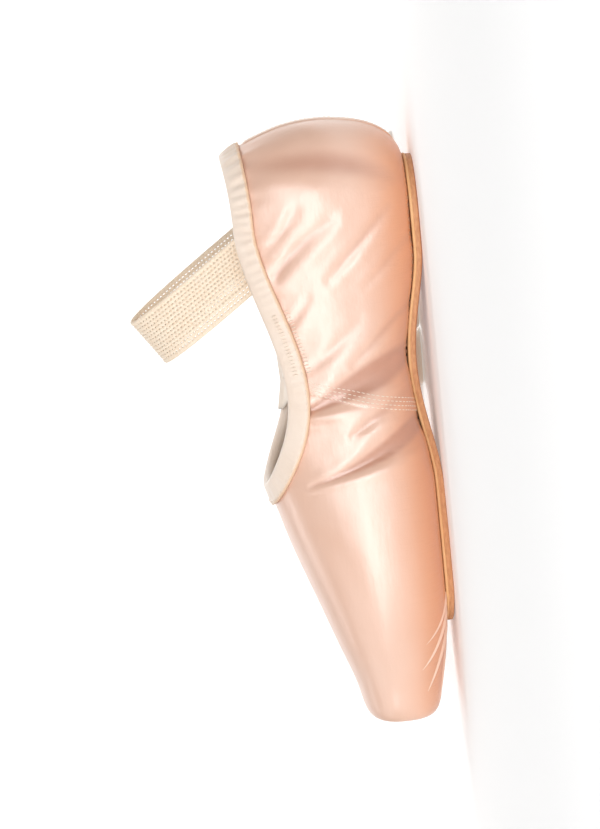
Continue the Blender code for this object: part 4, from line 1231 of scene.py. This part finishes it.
def make_binding():
    """The folded tape, swept round the topline. Gives back its stitch line and the way down at each point."""
    loop = collar_points()
    count = len(loop)
    outer = BINDING_GAP + BINDING_THICKNESS
    inner = QUARTER_WALL + BINDING_GAP
    far = QUARTER_WALL + outer
    last = smooth_last()
    travel = 0.0
    rings, stitch_line, downs = [], [], []
    for i, point in enumerate(loop):
        heading = (loop[(i + 1) % count] - loop[i - 1]).normalized()
        travel += (point - loop[i - 1]).length if i else 0.0
        at_end = Vector((-1 if point.x < 0 else 0.4, 0, 0.6))
        outwards = Vector((0, point.y, 0.02)) if abs(point.y) > 0.004 else at_end
        normal = facing(last.find_nearest(point)[1], outwards)
        down = normal.cross(heading).normalized()
        if down.z > 0 and point.x < 0.01:
            down = -down
        flaps = []
        for share in (0.25, 0.5, 0.75, 1.0):
            near, near_normal, _, _ = last.find_nearest(point + down * share * BINDING_DEPTH)
            flaps.append((near, facing(near_normal, normal)))
        heel = 0.22 + 0.78 * smooth((-0.050 - point.x) / 0.03)
        sway = 1.9 * math.sin(travel / GATHER_SWAY)
        gather = math.sin(travel / GATHER_FINE + sway) + 0.6 * math.sin(travel / GATHER_WIDE + 0.7)
        ruffle = BINDING_RUFFLE * heel * gather
        base, base_normal = flaps[-1]
        ring = [base + base_normal * (outer * 0.92 + 0.4 * ruffle)]
        ring += [near + n * (outer + ruffle * w) for (near, n), w in zip(reversed(flaps[:-1]), (1.0, 1.0, 0.6))]
        for turn in np.radians((0, 25, 55, 90, 125, 155, 180)):
            middle = point - normal * (QUARTER_WALL / 2)
            radius = QUARTER_WALL / 2 + outer
            ring.append(middle + normal * radius * math.cos(turn) - down * (outer + FOLD_ROOM) * math.sin(turn))
        ring += [near - n * far for near, n in flaps]
        ring += [near - n * inner for near, n in reversed(flaps)]
        ring += [point - normal * inner, point - down * BINDING_GAP - normal * QUARTER_WALL]
        ring += [point - down * BINDING_GAP, point + normal * BINDING_GAP]
        ring += [near + n * BINDING_GAP for near, n in flaps]
        rings.append(ring)
        stitch_line.append(base - down * STITCH_INSET + base_normal * (outer + 0.5 * ruffle + STITCH_LIFT))
        downs.append(down)
    columns = len(rings[0])
    faces = grid_faces(count, columns, closed_rows=True, closed_columns=True)
    piece = sheet_object("binding_tape", [p for ring in rings for p in ring], faces, binding_satin())
    # The tape's two lower edges carry the painted shade line.
    mark(piece.data, "edge_shade", np.tile([1.0] + [0.0] * (columns - 2) + [1.0], count))
    outward_faces(piece)
    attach(piece, "root")
    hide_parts("collar_binding")
    return stitch_line, downs


binding_line, binding_downs = make_binding()

# Elastic. An open woven band that arches over the opening, sewn inside the collar at both sides of the
# heel: lengthwise ribs over rubber cords, with rows of small staggered openings between them and a
# closed edge at each side.
ELASTIC_WIDTH = 0.020
ELASTIC_THICKNESS = 0.0012
ELASTIC_HEIGHT = 0.105
ELASTIC_SEAT = 0.049
ELASTIC_TUCK = 0.017
ELASTIC_LEAN = math.radians(35)
ELASTIC_POWER = 2.4
ELASTIC_RIBS = 11
ELASTIC_EDGE = 0.0016
ELASTIC_SLIT = 0.00050
ELASTIC_STEP = 0.00027
ELASTIC_PITCH = 6
ELASTIC_RIB_RAISE = 0.00022
ELASTIC_TAPE = 0.0007
ELASTIC_SEWN = 12


def elastic_point(travel, across):
    """The strap leans forward as it rises, follows the wall inside and closes over the top."""
    top = ELASTIC_TUCK + (ELASTIC_HEIGHT - topline_height(ELASTIC_SEAT)) / math.cos(ELASTIC_LEAN)
    lift = topline_height(ELASTIC_SEAT) - ELASTIC_TUCK * math.cos(ELASTIC_LEAN)
    travel = travel * top
    along = ELASTIC_SEAT + (travel - ELASTIC_TUCK) * math.sin(ELASTIC_LEAN) + across * math.cos(ELASTIC_LEAN)
    height = lift + travel * math.cos(ELASTIC_LEAN) - across * math.sin(ELASTIC_LEAN)
    share = min(max((travel - ELASTIC_TUCK) / (top - ELASTIC_TUCK), 0.0), 1.0)
    return along, inside_side(along, height, ELASTIC_THICKNESS) * rounding(share, ELASTIC_POWER), height


def elastic_strip(widths):
    """Rows along the whole strap, evenly spaced, from the left end over the top to the right end."""
    turns = np.sin(np.linspace(0, math.pi / 2, 60)) ** 0.9
    guides = np.linspace(-0.5, 0.5, 7) * ELASTIC_WIDTH
    left = np.array([[elastic_point(t, w) for w in guides] for t in turns])
    coarse = np.concatenate((left, (left[:-1] * flip)[::-1])) + shift
    travel = travel_along(coarse[:, 3])
    places = np.arange(0, travel[-1], ELASTIC_STEP)
    even = np.array([[np.interp(places, travel, coarse[:, j, axis]) for axis in range(3)] for j in range(7)])
    dense = [[np.interp(widths, guides, even[:, axis, i]) for axis in range(3)] for i in range(len(places))]
    return np.transpose(dense, (0, 2, 1))


def elastic_columns():
    """Places across the tape: for each rib its two sides and crown, then the slit beside it."""
    rib = (ELASTIC_WIDTH - 2 * ELASTIC_EDGE - (ELASTIC_RIBS + 1) * ELASTIC_SLIT) / ELASTIC_RIBS
    selvedge = (ELASTIC_EDGE, [0.3, 1.3, 0.3])
    widths, raises, slits = [0.0, 0.5 * ELASTIC_EDGE, ELASTIC_EDGE], list(selvedge[1]), []
    at = ELASTIC_EDGE
    for part, crown in [(rib, [0.0, 1.0, 0.0])] * ELASTIC_RIBS + [selvedge]:
        slits.append(len(widths) - 1)
        at += ELASTIC_SLIT
        widths += [at, at + part / 2, at + part]
        raises += crown
        at += part
    return np.array(widths) - ELASTIC_WIDTH / 2, np.array(raises), slits


def elastic_weave():
    """Elastic yarn: cream, with a slanting twist of fine threads over each rib."""
    finish = Finish("elastic_yarn")
    cloud, base = finish.clouded(220.0, 3.0, (0.93, 0.76, 0.58), (0.95, 0.84, 0.70))
    twist = finish.noise((2600.0, 1500.0, 3400.0), turn=(0.4, 0.9, 0.3))
    base = finish.mix(twist.between(0.30, 0.55), (0.84, 0.62, 0.43), base)
    return finish.surface(
        Base_Color=base, Roughness=0.55 + 0.1 * cloud, Normal=finish.bump(twist, 0.00018, 0.6),
        Sheen_Weight=0.2, Specular_IOR_Level=0.4,
    )


def make_elastic():
    widths, raises, slits = elastic_columns()
    strip = elastic_strip(widths)
    rows, columns = strip.shape[:2]
    beat = 1 + 0.25 * np.cos(2 * math.pi * np.arange(rows)[:, None] / ELASTIC_PITCH)
    strip = strip + grid_normals(strip) * (ELASTIC_RIB_RAISE * raises[None, :] * beat)[:, :, None]
    faces = []
    for i in range(rows - 1):
        for j in range(columns - 1):
            stagger = ELASTIC_PITCH // 2 * (slits.index(j) % 2) if j in slits else 0
            opened = (i + stagger) % ELASTIC_PITCH < ELASTIC_PITCH // 2
            if not (j in slits and opened and ELASTIC_SEWN < i < rows - ELASTIC_SEWN - 2):
                a = i * columns + j
                faces.append((a, a + columns, a + columns + 1, a + 1))
    piece = sheet_object("elastic_band", strip.reshape(-1, 3), faces, elastic_weave())
    thickened(piece, ELASTIC_TAPE)
    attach(piece, "root")
    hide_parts("elastic_strap")


make_elastic()

# Stitching. Cream thread: four rows down each side seam, a row along each edge of the back seam's
# tape, one along the binding, and short bars through the binding where the ribbons are sewn in. Brown
# thread runs round the sole.


def stitch_tree():
    """Lays one stitch at each step of a line, turned the way that the line's own vectors say."""
    tree = bpy.data.node_groups.new("stitch_rows", "GeometryNodeTree")
    kinds = {
        "Geometry": "Geometry", "Pitch": "Float", "Length": "Float", "Radius": "Float", "Thread": "Material",
    }
    for label, kind in kinds.items():
        tree.interface.new_socket(label, in_out="INPUT", socket_type="NodeSocket" + kind)
    tree.interface.new_socket("Geometry", in_out="OUTPUT", socket_type="NodeSocketGeometry")
    given = tree.nodes.new("NodeGroupInput").outputs
    curve = wire(tree, "GeometryNodeMeshToCurve", {}, {"Mesh": given["Geometry"]})
    by_pitch = {"Curve": curve[0], "Length": given["Pitch"]}
    steps = wire(tree, "GeometryNodeResampleCurve", {"mode": "LENGTH"}, by_pitch)
    lay = wire(tree, "GeometryNodeInputNamedAttribute", {"data_type": "FLOAT_VECTOR"}, {"Name": "lay"})
    turn = wire(tree, "FunctionNodeAlignRotationToVector", {"axis": "Z"}, {"Vector": lay[0]})
    size = wire(tree, "ShaderNodeCombineXYZ", {}, {0: given["Radius"], 1: given["Radius"], 2: given["Length"]})
    ball = wire(tree, "GeometryNodeMeshUVSphere", {}, {"Segments": 7, "Rings": 6, "Radius": 1.0})
    one = wire(tree, "GeometryNodeTransform", {}, {"Geometry": ball[0], "Scale": size[0]})
    laid_out = {"Points": steps[0], "Instance": one[0], "Rotation": turn[0]}
    stitches = wire(tree, "GeometryNodeInstanceOnPoints", {}, laid_out)
    real = wire(tree, "GeometryNodeRealizeInstances", {}, {"Geometry": stitches[0]})
    shaded = wire(tree, "GeometryNodeSetShadeSmooth", {}, {"Geometry": real[0]})
    done = wire(tree, "GeometryNodeSetMaterial", {}, {"Geometry": shaded[0], "Material": given["Thread"]})
    tree.links.new(done[0], tree.nodes.new("NodeGroupOutput").inputs[0])
    return tree


STITCHES = stitch_tree()


def stitched(name, lines, stitch, thread, lays=None):
    """A piece of stitches along lines of points. lays holds the way that the stitches lie at each point."""
    points, edges, directions = [], [], []
    for number, line in enumerate(lines):
        edges += [(len(points) + i, len(points) + i + 1) for i in range(len(line) - 1)]
        points += [tuple(p) for p in line]
        directions.append(np.array(lays[number]) if lays else np.gradient(np.array(line), axis=0))
    directions = np.concatenate(directions)
    directions /= np.linalg.norm(directions, axis=1)[:, None]
    data = bpy.data.meshes.new(name)
    data.from_pydata(points, edges, [])
    data.attributes.new("lay", "FLOAT_VECTOR", "POINT").data.foreach_set("vector", directions.ravel())
    piece = bpy.data.objects.new(name, data)
    bpy.context.scene.collection.objects.link(piece)
    modifier = piece.modifiers.new("threads", "NODES")
    modifier.node_group = STITCHES
    values = {"Pitch": stitch.pitch, "Length": stitch.length, "Radius": stitch.radius, "Thread": thread}
    for item in STITCHES.interface.items_tree:
        if item.in_out == "INPUT" and item.name in values:
            modifier[item.identifier] = values[item.name]
    made_plain(piece)
    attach(piece, "root")


def yarn(name, light, dark, roughness):
    """Spun yarn or sewing thread, with a fine twist."""
    finish = Finish(name)
    cloud, base = finish.clouded(300.0, 2.0, light, dark)
    return finish.surface(
        Base_Color=base, Roughness=roughness + 0.1 * cloud, Sheen_Weight=0.3, Specular_IOR_Level=0.35,
        Normal=finish.bump(finish.noise(5200.0, 1.0), 0.00008, 0.5),
    )


THREAD = yarn("sewing_thread", (0.93, 0.82, 0.70), (0.86, 0.70, 0.56), 0.45)
Stitch = namedtuple("Stitch", "pitch length radius")
SEAM_STITCH = Stitch(0.0018, 0.00070, 0.00019)
SOLE_STITCH = Stitch(0.0027, 0.00095, 0.00024)
BINDING_STITCH = Stitch(0.0023, 0.00085, 0.00021)
BAR_STITCH = Stitch(0.00135, 0.00105, 0.00021)
SIDE_SEAM_ROWS = (-0.0046, -0.0031, -0.0016, -0.0001)
STITCH_SINK = 0.00004
THREAD_LIFT = 0.0001
SOLE_THREAD_INSET = 0.0007
SOLE_THREAD_RISE = 0.0006
SEARCH_FROM = 0.006
SEARCH_REACH = 0.014
SLOPE_STEP = 0.0008
SEAM_INSET = 0.0005
SEAM_BEHIND = 0.002


def on_surface(point, normal):
    """The dressed upper's outside under a point of the smooth last, met along the last's normal."""
    start = place(*point) + normal * SEARCH_FROM
    hit, _, _, _ = surface.ray_cast(start, -normal, SEARCH_REACH)
    return (hit if hit is not None else place(*point)) - normal * STITCH_SINK


def last_point(along, climb, side):
    """The last's point and normal at a share of the way from the sole's edge up to the topline."""
    angles = np.linspace(SOLE_ANGLE * 0.999, collar_angle(along), 80)
    profile = np.array([section_point(along, float(a)) for a in angles])
    travel = travel_along(profile)
    at = climb * travel[-1] + np.array((-SLOPE_STEP, 0.0, SLOPE_STEP))
    y, z = (np.interp(at, travel, profile[:, k]) for k in (0, 1))
    return (along, side * y[1], z[1]), Vector((0, side * (z[2] - z[0]), y[0] - y[2])).normalized()


def side_seam(side, offset):
    shares = np.linspace(0.14, 0.93, 90)
    return [on_surface(*last_point(seam_place(down) + offset, 1 - down, side)) for down in shares]


def back_seam(side):
    line = []
    levels = np.linspace(0.36, SEAM_TOP_LEVEL - 0.02, 60)
    for along, y, z in heel_section(None, SEAM_HALF - SEAM_INSET, 1.0, levels):
        target = place(along - SEAM_BEHIND, side * y, z)
        near = surface.find_nearest(target)[0]
        line.append(near - (target - near).normalized() * STITCH_SINK)
    return line


rows = [side_seam(side, offset) for side in (1, -1) for offset in SIDE_SEAM_ROWS]
stitched("seam_stitches", rows + [back_seam(1), back_seam(-1)], SEAM_STITCH, THREAD)

SOLE_THREAD = yarn("sole_thread", (0.50, 0.27, 0.15), (0.36, 0.17, 0.09), 0.6)
sole_line = []
for point in sole_outline(-SOLE_THREAD_INSET, SOLE_THICKNESS + GAP + SOLE_THREAD_RISE):
    near = surface.find_nearest(point)[0]
    sole_line.append(near + (point - near).normalized() * THREAD_LIFT)
stitched("sole_stitches", [sole_line + sole_line[:1]], SOLE_STITCH, SOLE_THREAD)
stitched("binding_stitches", [binding_line + binding_line[:1]], BINDING_STITCH, THREAD)

RIBBON_BAR_SPAN = (0.0665, 0.0895)
RIBBON_BAR_DROPS = (-0.0026, 0.0022)
bars, bar_lays = [], []
for half in (1, -1):
    places = [
        i for i, p in enumerate(binding_line)
        if RIBBON_BAR_SPAN[0] < p.x - shift[0] < RIBBON_BAR_SPAN[1] and p.y * half > 0
    ]
    for drop_by in RIBBON_BAR_DROPS:
        lift = BINDING_GAP + BINDING_THICKNESS + 2 * THREAD_LIFT if drop_by < 0 else THREAD_LIFT
        line = []
        for i in places:
            target = binding_line[i] + binding_downs[i] * drop_by
            near = surface.find_nearest(target)[0]
            line.append(near + (target - near).normalized() * lift)
        bars.append(line)
        bar_lays.append([binding_downs[i] for i in places])
stitched("ribbon_bars", bars, BAR_STITCH, THREAD, bar_lays)

# Floor and light. A plain pale studio sweep, broad soft lights from the camera's side and above, weaker
# ones at the toe, in front and behind, a bright backdrop and a white room.
SWEEP_WIDTH = 5.0
SWEEP_FRONT = 2.5
SWEEP_BACK = -1.2
SWEEP_RADIUS = 0.8
SWEEP_HEIGHT = 2.5


def floor_finish():
    finish = Finish("floor_paper")
    _, base = finish.clouded(180.0, 4.0, (0.86, 0.855, 0.85), (0.90, 0.895, 0.89))
    return finish.surface(
        Base_Color=base, Roughness=0.8, Specular_IOR_Level=0.2,
        Emission_Color=(1.0, 1.0, 1.0), Emission_Strength=0.22,
    )


profile = [(SWEEP_FRONT, 0.0), (SWEEP_BACK, 0.0)]
for turn in np.radians(np.linspace(0, 90, 17)):
    profile.append((SWEEP_BACK - SWEEP_RADIUS * math.sin(turn), SWEEP_RADIUS * (1 - math.cos(turn))))
profile.append((SWEEP_BACK - SWEEP_RADIUS, SWEEP_HEIGHT))
sweep_points = [(x, y, z) for y, z in profile for x in (-SWEEP_WIDTH / 2, SWEEP_WIDTH / 2)]
floor = sheet_object("floor", sweep_points, grid_faces(len(profile), 2), floor_finish())


def soft_light(name, position, aim, size, power, colour):
    lamp = bpy.data.lights.new(name, "AREA")
    lamp.shape = "RECTANGLE"
    lamp.size, lamp.size_y = size
    lamp.energy = power
    lamp.color = colour
    light = bpy.data.objects.new(name, lamp)
    light.location = position
    light.rotation_mode = "QUATERNION"
    light.rotation_quaternion = (Vector(aim) - Vector(position)).to_track_quat("-Z", "Y")
    bpy.context.scene.collection.objects.link(light)


soft_light("key", (0.0, 1.25, 0.30), (0.0, 0.0, 0.04), (1.30, 0.22), 6.2, (0.98, 0.99, 1.0))
soft_light("panel", (-0.15, 1.35, 0.70), (0.0, 0.0, 0.04), (1.2, 0.6), 4.2, (0.99, 0.99, 1.0))
soft_light("toe", (0.70, 1.00, 0.26), (0.05, 0.0, 0.03), (0.50, 0.20), 1.7, (1.0, 1.0, 1.0))
soft_light("fill", (0.9, 0.5, 0.8), (0.0, 0.0, 0.04), (0.8, 0.8), 1.8, (1.0, 0.99, 0.98))
soft_light("rim", (-0.7, -0.7, 0.8), (0.0, 0.0, 0.05), (0.7, 0.7), 2.6, (1.0, 0.99, 0.98))
soft_light("backdrop", (0.0, -0.55, 1.5), (0.0, -2.0, 0.6), (2.4, 0.8), 34.0, (1.0, 1.0, 1.0))
world = bpy.data.worlds.new("white_room")
world.use_nodes = True
room = world.node_tree.nodes["Background"].inputs
room["Color"].default_value = (1.0, 1.0, 1.0, 1.0)
room["Strength"].default_value = 0.24
bpy.context.scene.world = world
bpy.context.scene.view_settings.view_transform = "Standard"
